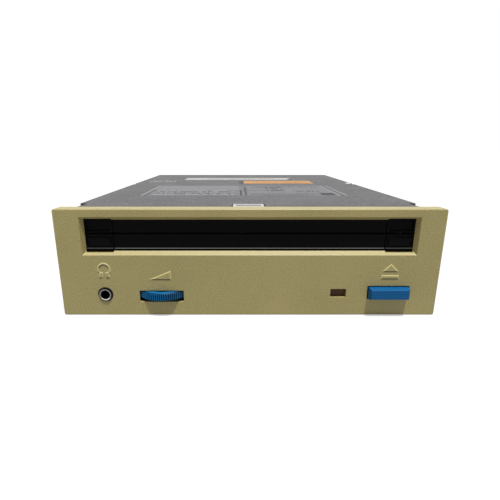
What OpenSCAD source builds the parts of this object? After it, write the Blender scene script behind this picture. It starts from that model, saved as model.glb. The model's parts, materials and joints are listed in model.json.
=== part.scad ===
// Caddy-loading disc drive for a half-height 5.25-inch bay.
// Millimetres. X runs across the drive, Y from the bezel to the rear, Z up.
// The origin is on the underside, at the centre of the four bottom mounting holes.

/* [Drive body] */
// Width of the metal body
drive_w = 146; // [145:0.5:148]
// Height of the body with its covers
drive_h = 41.3; // [41:0.1:41.6]
// Length of the body behind the bezel
drive_l = 203; // [200:1:215]
// Thickness of the chassis side walls
wall_t = 2; // [1.8:0.1:2.4]
// Thickness of the chassis rear wall
rear_t = 1.6; // [1.2:0.1:2]
// Thickness of the cover sheets
sheet_t = 0.8; // [0.6:0.1:1]
// Depth of the top cover's side flanges
flange_depth = 11.3; // [8:0.1:14]
// Depth of the top cover's rear flange
rear_flange_h = 7; // [6:0.5:9]

/* [Mounting holes] */
// Distance of the bottom holes from the body's sides
hole_inset = 3.15; // [3:0.05:3.5]
// Distance along the body between the holes
hole_pitch_y = 79.25; // [76:0.25:82]
// Distance from the bezel's back to the first holes
hole_set_back = 47.4; // [46:0.1:50]
// Height of the lower row of side holes
side_hole_low = 10; // [9.5:0.1:11]
// Height of the upper row of side holes
side_hole_high = 21.84; // [21:0.02:22.5]
// Radius of the M3 mounting holes
mount_hole_r = 1.5; // [1.3:0.05:1.6]
// Depth of the bottom mounting holes
mount_hole_depth = 6; // [4:0.5:6]

/* [Bezel] */
// How far the bezel stands past each side of the body
bezel_side = 1.1; // [0.9:0.05:2]
// How far the bezel stands above the top of the body
bezel_top = 1.4; // [1.2:0.05:2.2]
// Depth of the bezel from face to back
bezel_d = 6; // [5.8:0.1:7]
// Thickness of the bezel's front wall
face_t = 2.2; // [2:0.1:2.4]
// Thickness of the bezel's rim
rim_t = 1.5; // [1.2:0.1:1.6]
// Rounding of the bezel's front edges
edge_round = 0.6; // [0.4:0.1:1.4]
// Rounding of the bezel's corners, seen from the front
corner_round = 1.3; // [0.8:0.1:1.5]

/* [Caddy slot] */
// Distance from each side of the body to the disc caddy
caddy_room = 10.75; // [10.5:0.05:11.5]
// Thickness of that caddy
caddy_t = 8; // [7.8:0.1:8.2]
// Length of the body that the caddy doesn't take
caddy_spare = 73; // [70:0.5:75]
// Depth of the slot's middle below the body's top
slot_drop = 9.1; // [8.9:0.1:9.3]
// Height of the slot between its lips
slot_h = 12.1; // [11.8:0.1:12.4]
// Room on each side of the caddy in the slot
slot_side = 0.95; // [0.8:0.05:1.2]
// Length of the taller stretch at each end of the slot
slot_end_l = 10.6; // [9:0.2:12]
// Extra height of that stretch, above and below
slot_end_h = 0.55; // [0.4:0.05:0.7]
// Width of the slot's sloped border at its sides
slot_border_x = 1.1; // [0.8:0.1:1.6]
// Width of that border above and below the slot
slot_border_z = 1.35; // [1:0.05:1.5]

/* [Door flaps] */
// Thickness of the flap plates
flap_t = 1.8; // [1.6:0.1:2]
// Height of the split between the flaps above the slot's middle
flap_split_rise = 0.6; // [0.2:0.1:1]
// Gap between the two flaps
flap_gap = 0.6; // [0.4:0.1:1]
// Radius of the flap hinge barrels
flap_barrel_r = 1; // [0.9:0.05:1.1]
// Radius of the flap hinge pins
flap_pin_r = 0.7; // [0.6:0.05:0.8]
// Running clearance of pins and shafts
run_gap = 0.05; // [0.03:0.01:0.08]

/* [Front controls] */
// Distance of the headphone socket from the body's left side
jack_side = 16.25; // [15:0.25:17]
// Height of the headphone socket
jack_z = 8.8; // [8.4:0.1:9.2]
// Radius of the headphone socket's bore
jack_bore_r = 1.8; // [1.7:0.05:1.9]
// Distance from the headphone socket to the volume wheel
wheel_step = 22.15; // [21:0.05:23]
// Height of the volume wheel's middle
wheel_z = 8.45; // [8.3:0.05:8.6]
// Radius of the volume wheel
wheel_r = 11; // [10.5:0.1:11.5]
// Thickness of the volume wheel
wheel_t = 3.1; // [2.8:0.1:3.2]
// How far the wheel stands out of the bezel
wheel_proud = 2.8; // [2:0.1:3.2]
// Number of ridges round the volume wheel
wheel_ridges = 80; // [72:4:100]
// Distance from the eject button to the activity window
window_step = 19.6; // [17:0.1:21]
// Width of the activity window
window_w = 6.2; // [5:0.2:7]
// Height of the activity window
window_h = 3.4; // [2.8:0.1:3.8]
// Height of the activity window's middle
window_z = 9.35; // [9.2:0.05:9.6]
// Distance of the eject button's middle from the body's right side
button_side = 18.3; // [17.6:0.1:19]
// Width of the eject button
button_w = 15.6; // [14:0.2:15.8]
// Height of the eject button
button_h = 4.6; // [4.2:0.1:5]
// How far the eject button stands out of the bezel
button_proud = 3; // [2.5:0.1:4]
// Travel of the eject button
button_travel = 2; // [1.5:0.1:2.2]
// Height of the eject button's middle
button_z = 9.6; // [9.4:0.1:9.8]

/* [Optics] */
// How far the spindle is ahead of the caddy's middle
spindle_ahead = 3.6; // [2:0.1:4]
// Radius of the turntable
turntable_r = 15; // [14:0.5:15.2]
// Depth of the turntable's face below the middle of the lowered caddy
disc_drop = 1; // [0.8:0.1:1.2]
// Travel of the pickup sled along the disc
sled_travel = 35; // [32:0.5:36]
// Distance of each guide rod from the middle
rod_x = 24; // [23.6:0.1:24.4]
// Radius of the guide rods
rod_r = 1.5; // [1.3:0.05:1.6]
// Module of the sled's gears
sled_module = 0.6; // [0.55:0.01:0.6]
// Teeth of the sled's small gears
sled_pinion_teeth = 12; // [12:1:13]
// Teeth of the sled's large gear
sled_gear_teeth = 36; // [34:1:37]

/* [Loading] */
// How far the caddy carrier comes down
lift = 5; // [4.5:0.1:5.2]
// How far the cam plates slide to lower the carrier
cam_travel = 14; // [13:0.5:15]
// Thickness of the cam plates
cam_t = 1.2; // [1:0.1:1.4]
// Radius of the carrier's lift pins
lift_pin_r = 1.4; // [1.2:0.05:1.5]
// Module of the loading gears
load_module = 0.5; // [0.48:0.01:0.5]
// Teeth of the pinions on the cross shaft
cam_pinion_teeth = 14; // [14:1:15]
// Teeth of the loading gear on the cross shaft
load_gear_teeth = 33; // [31:1:33]
// Teeth of the pinion on the belt pulley
load_pinion_teeth = 12; // [12:1:13]
// Groove radius of the large belt pulley
pulley_r = 7; // [6.5:0.1:7.2]
// Groove radius of the motor's belt pulley
motor_pulley_r = 2; // [1.8:0.1:2.2]

/* [Hidden] */
$fn = 48;

// Small steps: how far cuts pass a face, the gap between neighbours, and loose and tight fits
cut = 0.1;
near = 0.1;
loose = 0.3;
tight = 0.01;
sliver = 0.01;

// Sizes and places that follow from the body's
hole_pitch_x = drive_w - 2 * hole_inset;
bezel_w = drive_w + 2 * bezel_side;
bezel_h = drive_h + bezel_top;
flange_z = drive_h - flange_depth;
caddy_w = drive_w - 2 * caddy_room;
caddy_l = drive_l - caddy_spare;
carrier_front = 14.6;
slot_z = drive_h - slot_drop;
flap_split_z = slot_z + flap_split_rise;
jack_x = jack_side - drive_w / 2;
wheel_x = jack_x + wheel_step;
button_x = drive_w / 2 - button_side;
window_x = button_x - window_step;
spindle_y = carrier_front + caddy_l / 2 - spindle_ahead;
turntable_z = slot_z - lift - disc_drop;

// Planes of the body
bezel_back = -(hole_set_back + hole_pitch_y / 2);
wall_out = drive_w / 2;
wall_in = wall_out - wall_t;
wall_top = drive_h - sheet_t;
chassis_l = drive_l - sheet_t - near;
rear_in = chassis_l - rear_t;
hole_rows = [hole_set_back, hole_set_back + hole_pitch_y];

// Colours of the finishes
beige = "#cdbf8b";
black = "#141416";
blue = "#1f66a0";
zinc = "#8d8f92";
steel = "#b9bcc0";
green = "#2c5a3a";
rubber = "#232323";
brass = "#b59a58";
amber = "#6b4530";
cream = "#d9d4c4";
copper = "#8a5a3a";
glass = "#9fb4c8";

// Places its children aft of the bezel, whose back is their zero in Y
module aft() { translate([0, bezel_back, 0]) children(); }

// Pairs of ends: the same distance to both sides of zero, or about a middle
function both(half) = [-half, half];
function about(mid, half) = [mid - half, mid + half];

// A block between pairs of ends in X, Y and Z
module block(x, y, z) { translate([x[0], y[0], z[0]]) cube([x[1] - x[0], y[1] - y[0], z[1] - z[0]]); }

// A round bar along X, along Y or along Z, from its lower end to its upper end, at a place across them
module bar_x(r, from, to, at = [0, 0]) {
  translate([from, at.x, at.y]) rotate([0, 90, 0]) cylinder(r = r, h = to - from);
}
module bar_y(r, from, to, at = [0, 0]) {
  translate([at.x, from, at.y]) rotate([-90, 0, 0]) cylinder(r = r, h = to - from);
}
module bar_z(r, from, to, at = [0, 0]) { translate([at.x, at.y, from]) cylinder(r = r, h = to - from); }

// A flat outline drawn in Y and Z, made thick along X
module slab_x(from, to) { translate([from, 0, 0]) rotate([90, 0, 90]) linear_extrude(to - from)
  children(); }

// A flat outline drawn in X and Z, made thick along Y
module slab_y(from, to) { translate([0, to, 0]) rotate([90, 0, 0]) linear_extrude(to - from) children(); }

// The same piece on the right and, mirrored, on the left
module both_sides() {
  children();
  mirror([1, 0, 0]) children();
}

// A rectangle with round corners, centred
module round_rect(w, h, r) {
  square([w - 2 * r, h], center = true);
  square([w, h - 2 * r], center = true);
  for (x = [-1, 1], y = [-1, 1]) translate([x * (w / 2 - r), y * (h / 2 - r)]) circle(r);
}

// A straight slot between two points, its ends a touch wider than its sides
slot_ease = 0.02;
module slot_2d(a, b, r) {
  d = b - a;
  half = r - slot_ease;
  translate(a) circle(r);
  translate(b) circle(r);
  translate(a) rotate(atan2(d.y, d.x)) translate([0, -half]) square([norm(d), 2 * half]);
}

// Gear teeth: involute flanks at this pressure angle, with play between the teeth
pressure = 25;
tooth_play = 0.1;
tooth_tip = 0.9;
tooth_root = 1.2;
flank_steps = 4;
flank_foot = 0.02;
function spread(r, base) = let (t = sqrt(max(0, (r / base) ^ 2 - 1))) t * 180 / PI - atan(t);
function polar(r, a) = [r * cos(a), r * sin(a)];
function gear_points(teeth, m) =
  let (
    pitch_r = m * teeth / 2,
    base = pitch_r * cos(pressure),
    root = pitch_r - tooth_root * m,
    tip = pitch_r + tooth_tip * m,
    start = max(base, root + flank_foot),
    half = (PI * m / 2 - tooth_play) / (2 * pitch_r) * 180 / PI + spread(pitch_r, base),
    radii = [for (i = [0 : flank_steps]) start + (tip - start) * i / flank_steps]
  )
  [for (n = [0 : teeth - 1]) let (c = n * 360 / teeth) each concat(
    [polar(root, c - half + spread(start, base))],
    [for (r = radii) polar(r, c - half + spread(r, base))],
    [for (i = [flank_steps : -1 : 0]) polar(radii[i], c + half - spread(radii[i], base))],
    [polar(root, c + half - spread(start, base))]
  )];
module gear_2d(teeth, m, turn) { rotate(turn) polygon(gear_points(teeth, m)); }

// The outline of a rack's teeth along X, pointing up, with a gap between teeth at the origin
function rack_points(from, to, m) =
  let (
    pitch = PI * m,
    half = (pitch / 2 - tooth_play) / 2,
    top = half - tooth_tip * m * tan(pressure),
    foot = half + tooth_root * m * tan(pressure)
  )
  [for (k = [ceil(from / pitch) : floor(to / pitch) - 1]) let (c = (k + 0.5) * pitch) each [
    [c - foot, -tooth_root * m], [c - top, tooth_tip * m], [c + top, tooth_tip * m],
      [c + foot, -tooth_root * m]
  ]];
module rack_2d(from, to, m, back) {
  root = -tooth_root * m;
  polygon(concat([[from, root - back], [from, root]], rack_points(from, to, m),
    [[to, root], [to, root - back]]));
}

// A coil spring along Z as one unbroken tube, with a straight leg at each end
tube_sides = 6;
coil_rings = 8;
module coil_spring(r, wire, length, turns, leg) {
  count = round(turns * coil_rings);
  function at(i) = let (a = i * 360 / coil_rings) [r * cos(a), r * sin(a), length * i / count];
  function out(i) = let (a = i * 360 / coil_rings) [cos(a), sin(a), 0];
  function along(i) = let (a = i * 360 / coil_rings, v = [-r * sin(a), r * cos(a), 0]) v / norm(v);
  rings = concat(
    leg > 0 ? [[at(0) - leg * along(0), 0]] : [],
    [for (i = [0 : count]) [at(i), i]],
    leg > 0 ? [[at(count) + leg * along(count), count]] : []
  );
  points = [for (ring = rings) each [for (k = [0 : tube_sides - 1])
    let (a = k * 360 / tube_sides) ring[0] + wire / 2 * (cos(a) * out(ring[1]) + sin(a) * [0, 0, 1])]];
  last = len(rings) - 1;
  sides = [for (i = [0 : last - 1], k = [0 : tube_sides - 1])
    let (a = i * tube_sides + k, b = i * tube_sides + (k + 1) % tube_sides)
    each [[a, b, b + tube_sides], [a, b + tube_sides, a + tube_sides]]];
  caps = [
    [for (k = [tube_sides - 1 : -1 : 0]) k],
    [for (k = [0 : tube_sides - 1]) last * tube_sides + k]
  ];
  polyhedron(points, concat(sides, caps));
}

// A pan-head screw, its head on top, with its shank down to a depth
screw_r = 1.25;
screw_head_r = 2.6;
screw_head_h = 1.6;
screw_head_taper = 0.5;
module pan_screw(depth) {
  cylinder(r1 = screw_head_r, r2 = screw_head_r - screw_head_taper, h = screw_head_h);
  translate([0, 0, -depth]) cylinder(r = screw_r, h = depth);
}

// Chassis
boss_gap = 0.05;
boss_r = hole_inset - boss_gap;
boss_roof = 1;
boss_h = mount_hole_depth + boss_roof;
front_gap = 0.15;
ledge_w = 1.4;
ledge_h = 1.6;
front_tie = [3, 18];
front_tie_z = 3;
top_tie = [5, 14];
top_tie_t = 1.6;
full_wall_l = 16;
flange_start = 17.5;
barb_window = [5.8, 9.2];
barb_z = [12, 20];
works_h = 31.3;
board_z = (drive_h - works_h) / 2;
board_t = 1.6;
board_top = board_z + board_t;
post_side = 11;
post_x = wall_in - post_side;
post_r = 3;
post_h = 2;
shelf_z = board_top + post_h;
shelf_t = 1.6;
shelf_half = 8;
shaft_set_in = 24.1;
shaft_y = chassis_l - shaft_set_in;
shaft_rise = 9.4;
shaft_z = board_top + shaft_rise;
shaft_r = 1.5;
base_front = 48;
base_ahead = 10;
base_y = [base_front, shaft_y - base_ahead];
damper_set = [8, 6];
damper_rows = [base_y[0] + damper_set[0], base_y[1] - damper_set[1]];
damper_side = 21;
damper_x = wall_in - damper_side;
shelf_reach = 6;
shelf_in = damper_x - shelf_reach;
foot_side = 5;
foot_x = wall_in - foot_side;
foot_r = 3.4;
foot_gap = 1;
foot_h = board_z - foot_gap;
foot_set = [9, 8];
foot_rows = [foot_set[0], chassis_l - foot_set[1]];
groove_d = 0.8;
carrier_t = 1.1;
carrier_y = [carrier_front, carrier_front + caddy_l + carrier_t];
pin_set = [25.4, 25.7];
pin_rows = [carrier_front + pin_set[0], carrier_y[1] - pin_set[1]];
pin_drop = 1.2;
pin_z = slot_z - pin_drop;
pin_slot = lift_pin_r + near;
bearing_side = 6;
bearing_t = 2.4;
bearing_x = [wall_in - bearing_side - bearing_t, wall_in - bearing_side];
bearing_half = 4;
bearing_foot = 5;
rear_hole_gap = 0.5;

module chassis() {
  color(zinc) aft() difference() {
    union() {
      both_sides() {
        block([wall_in, wall_out], [front_gap, full_wall_l], [0, wall_top]);
        slab_y(full_wall_l, chassis_l) polygon([
          [wall_in, 0], [wall_out, 0], [wall_out, flange_z - near],
          [wall_out - sheet_t - near, flange_z - near], [wall_out - sheet_t - near, wall_top],
            [wall_in, wall_top]
        ]);
        block([wall_in - ledge_w, wall_in + cut], [front_gap, chassis_l], [sheet_t, sheet_t + ledge_h]);
        for (y = hole_rows) bar_z(boss_r, 0, boss_h, [hole_pitch_x / 2, y]);
        for (y = damper_rows) {
          block([shelf_in, wall_in + cut], about(y, shelf_half), [shelf_z, shelf_z + shelf_t]);
          bar_z(post_r, board_top, shelf_z + cut, [post_x, y]);
        }
        for (y = foot_rows) translate([foot_x, y, 0]) {
          bar_z(foot_r, sheet_t, foot_h);
          block([0, wall_in - foot_x + cut], both(foot_r), [sheet_t, foot_h]);
        }
        block([bearing_x[0], wall_in + cut], about(shaft_y, bearing_foot), [shelf_z, shelf_z + shelf_t]);
        block(bearing_x, about(shaft_y, bearing_half), [shelf_z + cut, shaft_z + bearing_half]);
      }
      block(both(wall_in + cut), [rear_in, chassis_l], [0, wall_top]);
      block(both(wall_in + cut), front_tie, [sheet_t, front_tie_z]);
      block(both(wall_in + cut), top_tie, [wall_top - top_tie_t, wall_top]);
      block(both(wall_in + cut), [rear_in - ledge_w, rear_in + cut], [sheet_t, sheet_t + ledge_h]);
    }
    both_sides() {
      for (y = hole_rows) {
        bar_z(mount_hole_r, -cut, mount_hole_depth, [hole_pitch_x / 2, y]);
        for (z = [side_hole_low, side_hole_high])
          bar_x(mount_hole_r, wall_in - cut, wall_out + cut, [y, z]);
      }
      for (y = damper_rows) {
        bar_z(screw_r, board_top - cut, shelf_z + shelf_t + cut, [post_x, y]);
        bar_z(screw_r, shelf_z - cut, shelf_z + shelf_t + cut, [damper_x, y]);
      }
      for (y = foot_rows) bar_z(screw_r, sheet_t - cut, foot_h + cut, [foot_x, y]);
      for (y = pin_rows)
        block([wall_in - cut, wall_in + groove_d], about(y, pin_slot),
          [pin_z - lift - pin_slot - loose, pin_z + pin_slot + loose]);
      for (y = guide_rows) bar_x(guide_pin_r, wall_in - cut, wall_in + guide_seat, [y, guide_z]);
      bar_x(shaft_r + run_gap, bearing_x[0] - cut, bearing_x[1] + cut, [shaft_y, shaft_z]);
      block([wall_in - cut, wall_out + cut], barb_window, barb_z);
      bar_z(screw_r, sheet_t + cut, front_tie_z + cut, [board_screw_x, board_screw_y]);
      for (y = cover_screw_rows) bar_x(screw_r, wall_in - cut, wall_out + cut, [y, cover_screw_z]);
      bar_y(screw_r, rear_in - cut, chassis_l + cut, [rear_screw_x, rear_screw_z]);
    }
    for (c = rear_openings)
      block([c[0] - rear_hole_gap, c[1] + rear_hole_gap], [rear_in - cut, chassis_l + cut],
        [c[2] - rear_hole_gap, c[3] + rear_hole_gap]);
  }
}

// Bottom cover with a row of vents
vent_span = 40;
vent_pitch = 8;
vent_y = 150;
vent_l = 24;
vent_r = 1.2;
module bottom_cover() {
  color(zinc) aft() difference() {
    block(both(wall_in - near), [front_gap + loose, rear_in - near], [0, sheet_t]);
    both_sides() {
      for (y = hole_rows) bar_z(boss_r + loose, -cut, sheet_t + cut, [hole_pitch_x / 2, y]);
      for (y = foot_rows) translate([foot_x, y, -cut])
        cylinder(r1 = flat_head_r + near + cut, r2 = screw_r + near, h = sheet_t + 2 * cut);
    }
    for (x = [-vent_span : vent_pitch : vent_span]) translate([x, vent_y, -cut])
      linear_extrude(sheet_t + 2 * cut) slot_2d([0, -vent_l / 2], [0, vent_l / 2], vent_r);
  }
}

// Countersunk screws that hold the bottom cover, flush with it
flat_head_r = 2.4;
flat_head_gap = 0.05;
module bottom_cover_screws() {
  color(steel) aft() both_sides() for (y = foot_rows) translate([foot_x, y, flat_head_gap]) {
    cylinder(r1 = flat_head_r, r2 = screw_r, h = sheet_t - flat_head_gap);
    cylinder(r = screw_r - flat_head_gap, h = foot_h - 2 * flat_head_gap);
  }
}

// Top cover: a lid with side flanges, a rear flange, a notch for the bezel's tongue and corner reliefs
tongue_w = 13;
tongue_l = 17.5;
tongue_gap = 0.5;
tongue_round = 1.5;
relief_l = 2;
relief_in = 1.4;
lance_y = 114;
lance_l = 5;
lance_w = 1.8;
lance_h = 2.6;
cover_screw_front = 30;
cover_screw_set = 22.1;
cover_screw_back = chassis_l - cover_screw_set;
cover_screw_rows = [cover_screw_front, (cover_screw_front + cover_screw_back) / 2, cover_screw_back];
cover_screw_drop = 6.7;
cover_screw_z = drive_h - cover_screw_drop;
rear_screw_side = 18;
rear_screw_x = wall_out - rear_screw_side;
rear_screw_drop = 4;
rear_screw_z = drive_h - rear_screw_drop;
module top_cover() {
  color(zinc) aft() difference() {
    union() {
      block(both(wall_out), [front_gap, drive_l], [wall_top, drive_h]);
      both_sides() block([wall_out - sheet_t, wall_out], [flange_start, drive_l], [flange_z, drive_h]);
      block(both(wall_out), [drive_l - sheet_t, drive_l], [drive_h - rear_flange_h, drive_h]);
    }
    translate([0, 0, wall_top - cut]) linear_extrude(sheet_t + 2 * cut) {
      translate([0, front_gap + tongue_l / 2])
        round_rect(tongue_w + 2 * tongue_gap, tongue_l + 2 * tongue_gap, tongue_round);
      translate([-tongue_w / 2 - tongue_gap, front_gap - cut])
        square([tongue_w + 2 * tongue_gap, tongue_l / 2]);
    }
    both_sides() {
      block([wall_in - relief_in, wall_out + cut], [front_gap - cut, flange_start + relief_l],
        [wall_top - cut, drive_h + cut]);
      block([wall_out - lance_w, wall_out + cut], about(lance_y, lance_l / 2),
        [drive_h - lance_h, drive_h + cut]);
      block([wall_out - sheet_t - cut, wall_out + cut], [drive_l - sheet_t - near, drive_l + cut],
        [flange_z - cut, drive_h - rear_flange_h]);
      for (y = cover_screw_rows)
        bar_x(screw_r + near, wall_out - sheet_t - cut, wall_out + cut, [y, cover_screw_z]);
      bar_y(screw_r + near, drive_l - sheet_t - cut, drive_l + cut, [rear_screw_x, rear_screw_z]);
    }
  }
}

// Low-head screws of the top cover, three in each side and two in the rear
low_head_r = 2.2;
low_head_h = 0.45;
low_head_taper = 0.3;
module low_screw(depth) {
  cylinder(r1 = low_head_r, r2 = low_head_r - low_head_taper, h = low_head_h);
  translate([0, 0, -depth]) cylinder(r = screw_r - flat_head_gap, h = depth);
}
module cover_screws() {
  color(steel) aft() both_sides() {
    for (y = cover_screw_rows) translate([wall_out, y, cover_screw_z]) rotate([0, 90, 0])
      low_screw(wall_t - loose);
    translate([rear_screw_x, drive_l, rear_screw_z]) rotate([-90, 0, 0])
      low_screw(sheet_t + near + rear_t - loose);
  }
}

// Bezel
face = -bezel_d;
face_back = face + face_t;
slot_half = caddy_w / 2 + slot_side;
lip_half = slot_half - slot_end_l;
ear_gap = 0.4;
ear_t = 2.2;
ear_set = 1.4;
ear_in = slot_half + ear_set;
ear_out = ear_in + ear_t;
ear_back = 3.6;
ear_foot = 2.4;
flap_set = 0.6;
flap_y = face_back + flap_set;
hinge_y = flap_y + flap_barrel_r;
hinge_out = [0.1, 0.4];
lower_hinge_z = slot_z - slot_h / 2 - slot_end_h - hinge_out[0];
upper_hinge_z = slot_z + slot_h / 2 + slot_end_h + hinge_out[1];
jack_hole_r = 3;
wheel_y = face - wheel_proud + wheel_r;
wheel_lip = 0.8;
wheel_slot_gap = 1.1;
wheel_slot_w = 2 * sqrt(wheel_r ^ 2 - (wheel_y - face - wheel_lip) ^ 2) + wheel_slot_gap;
wheel_room = [1.2, 0.35];
wheel_slot_z = [wheel_z - wheel_t / 2 - wheel_room[0], wheel_z + wheel_t / 2 + wheel_room[1]];
wheel_back_half = sqrt(wheel_r ^ 2 - (wheel_y - face_back) ^ 2) + loose;
button_gap = 0.4;
tongue_slack = 0.05;
tongue_t = sheet_t - tongue_slack;
tongue_root = 0.9;
hook_inset = 1;
hook_gap = 0.4;
hook_rise = 0.2;
slot_throat = 0.9;
slot_end_set = 0.8;
barb_arm_t = 1.1;
barb_gap = 0.15;
barb_reach = 0.9;
barb_flat = 0.6;
rib_t = 1.2;
module slot_taper() {
  hull() {
    translate([0, face - sliver, slot_z])
      cube([2 * (slot_half + slot_border_x), sliver, slot_h + 2 * slot_border_z], center = true);
    translate([0, face_back, slot_z]) cube([2 * slot_half, sliver, slot_h], center = true);
  }
}
module front_bezel() {
  color(beige) aft() difference() {
    union() {
      difference() {
        intersection() {
          slab_y(face, 0) translate([0, bezel_h / 2]) round_rect(bezel_w, bezel_h, corner_round);
          slab_x(-bezel_w / 2 - cut, bezel_w / 2 + cut) translate([0, bezel_h / 2])
            round_rect(2 * bezel_d, bezel_h, edge_round);
          translate([0, 0, -cut]) linear_extrude(bezel_h + 2 * cut)
            round_rect(bezel_w, 2 * bezel_d, edge_round);
        }
        block(both(bezel_w / 2 - rim_t), [face_back, cut], [rim_t, bezel_h - rim_t]);
      }
      both_sides() {
        difference() {
          block([ear_in, ear_out], [face_back - cut, ear_back],
            [lower_hinge_z - ear_foot, wall_top - 2 * near]);
          for (z = [lower_hinge_z, upper_hinge_z])
            bar_x(flap_pin_r + run_gap, ear_in - cut, ear_out + cut, [hinge_y, z]);
        }
        block([wall_in - barb_gap - barb_arm_t, wall_in - barb_gap],
          [face_back - cut, barb_window[1] - loose], [barb_z[0] + loose, barb_z[1] - loose]);
        side_barb();
      }
      for (x = [-1, 1])
        translate([button_x + x * (button_w / 2 + button_flange + button_gap + rib_t / 2), 0, button_z])
        block(both(rib_t / 2), [face_back - cut, -loose], both(button_h / 2));
      block(both(tongue_w / 2), [-cut, tongue_l], [drive_h - tongue_t, drive_h]);
      block(both(tongue_w / 2), [-tongue_root, cut], [drive_h - tongue_t, bezel_h - rim_t + cut]);
      block(both(tongue_w / 2 - hook_inset), [top_tie[1] + hook_gap, tongue_l],
        [wall_top - top_tie_t + hook_rise, drive_h - tongue_t + cut]);
    }
    slot_taper();
    block(both(slot_half), [face_back - slot_throat, face_back + cut], about(slot_z, slot_h / 2));
    both_sides()
      block([lip_half, slot_half], [face + slot_end_set, face_back + cut],
        about(slot_z, slot_h / 2 + slot_end_h));
    bar_y(jack_hole_r, face - cut, face_back + cut, [jack_x, jack_z]);
    block(about(wheel_x, wheel_slot_w / 2), [face - cut, face_back + cut], wheel_slot_z);
    block(about(wheel_x, wheel_back_half), [face + wheel_lip, face_back + cut], wheel_slot_z);
    block(about(window_x, window_w / 2), [face - cut, face_back + cut], about(window_z, window_h / 2));
    block(about(button_x, button_w / 2 + button_gap), [face - cut, face_back + cut],
      about(button_z, button_h / 2 + button_gap));
  }
}

// Barb on the end of a side arm, sloped on its leading side
module side_barb() {
  translate([0, 0, barb_z[0] + loose]) linear_extrude(barb_z[1] - barb_z[0] - 2 * loose) polygon([
    [wall_in - barb_gap - cut, barb_window[0] + loose], [wall_in + barb_reach, barb_window[0] + loose],
    [wall_in + barb_reach, barb_window[0] + loose + barb_flat],
      [wall_in - barb_gap - cut, barb_window[1] - loose]
  ]);
}

// Door flaps: plates behind the slot, hinged at their outer edges on pins in the bezel's ears
flap_half = ear_in - ear_gap;
pocket_inset = 1.2;
pocket_d = 0.8;
pad_d = 0.5;
pad_slant = 1.6;
lip_d = 0.5;
lip_h = 0.6;
pin_reach = 3.4;
seam_w = 0.5;
seam_d = 0.5;
module flap_hinge(z) {
  bar_x(flap_barrel_r, -flap_half, flap_half, [hinge_y, z]);
  bar_x(flap_pin_r, -ear_out - pin_reach, ear_out + pin_reach, [hinge_y, z]);
}
module upper_flap() {
  color(black) aft() difference() {
    union() {
      block(both(flap_half), [flap_y, flap_y + flap_t], [flap_split_z + flap_gap / 2, upper_hinge_z]);
      flap_hinge(upper_hinge_z);
    }
    both_sides() {
      block([lip_half + pocket_inset, flap_half - pocket_inset], [flap_y - cut, flap_y + pocket_d],
        [flap_split_z + flap_gap / 2 + pocket_inset / 2, slot_z + slot_h / 2 - pocket_inset / 4]);
      block(about(lip_half, seam_w / 2), [flap_y - cut, flap_y + seam_d],
        [flap_split_z, upper_hinge_z - flap_barrel_r]);
    }
  }
}
module lower_flap() {
  color(black) aft() difference() {
    union() {
      block(both(flap_half), [flap_y, flap_y + flap_t], [lower_hinge_z, flap_split_z - flap_gap / 2]);
      block(both(flap_half), [flap_y - lip_d, flap_y + cut],
        [slot_z - slot_h / 2 + lip_h, slot_z - slot_h / 2 + 2 * lip_h]);
      both_sides() slab_y(flap_y - pad_d, flap_y + cut) polygon([
        [lip_half + pocket_inset, slot_z - slot_h / 2 + 3 * lip_h],
          [flap_half - pocket_inset - pad_slant, slot_z - slot_h / 2 + 3 * lip_h],
        [flap_half - pocket_inset, flap_split_z - flap_gap / 2 - pocket_inset],
          [lip_half + pocket_inset, flap_split_z - flap_gap / 2 - pocket_inset]
      ]);
      flap_hinge(lower_hinge_z);
    }
    both_sides()
      block(about(lip_half, seam_w / 2), [flap_y - lip_d - cut, flap_y + seam_d],
        [lower_hinge_z + flap_barrel_r + near, flap_split_z]);
  }
}

// Coil springs on the right-hand hinge pins, which hold the flaps shut
flap_spring_r = 1.3;
flap_wire = 0.4;
flap_spring_turns = 3;
flap_spring_l = 2.6;
flap_spring_leg = 1;
module flap_spring(z, turn) {
  color(steel) aft() translate([ear_out + flap_wire, hinge_y, z]) rotate([turn, 0, 0]) rotate([0, 90, 0])
    coil_spring(flap_spring_r, flap_wire, flap_spring_l, flap_spring_turns, flap_spring_leg);
}
module upper_flap_spring() { flap_spring(upper_hinge_z, 180); }
module lower_flap_spring() { flap_spring(lower_hinge_z, 0); }
echo(flap_spring_least_gap = flap_spring_l / flap_spring_turns - flap_wire);

// Front board, whose top is the desk that the controls stand on
front_board_z = front_tie_z;
desk_z = front_board_z + board_t;
front_board_half = foot_x - foot_r - loose;
front_board_set = 1.2;
front_board_back = 20;
front_board_y = [face_back + front_board_set, front_board_back];
board_screw_x = 18;
board_screw_y = 13;
module front_board() {
  color(green) aft() difference() {
    block(both(front_board_half), front_board_y, [front_board_z, desk_z]);
    both_sides() bar_z(screw_r + near, front_board_z - cut, desk_z + cut, [board_screw_x, board_screw_y]);
  }
}

// Headphone socket: a body with a round nose, and a metal bushing in it
jack_half = 4.6;
jack_top = 13;
jack_back = 9;
bushing_wall = 0.6;
bushing_r = jack_bore_r + bushing_wall;
jack_nose_gap = 0.15;
bushing_l = 12.2;
bushing_proud = 0.5;
module headphone_jack() {
  color(black) aft() difference() {
    union() {
      block(about(jack_x, jack_half), [face_back + near, jack_back], [desk_z, jack_top]);
      bar_y(jack_hole_r - jack_nose_gap, face + loose, face_back + 2 * near, [jack_x, jack_z]);
    }
    bar_y(bushing_r, face, face - bushing_proud + bushing_l, [jack_x, jack_z]);
  }
}
module jack_bushing() {
  color(steel) aft() translate([jack_x, face - bushing_proud, jack_z]) difference() {
    bar_y(bushing_r, 0, bushing_l);
    bar_y(jack_bore_r, -cut, bushing_l + cut);
  }
}

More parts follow.
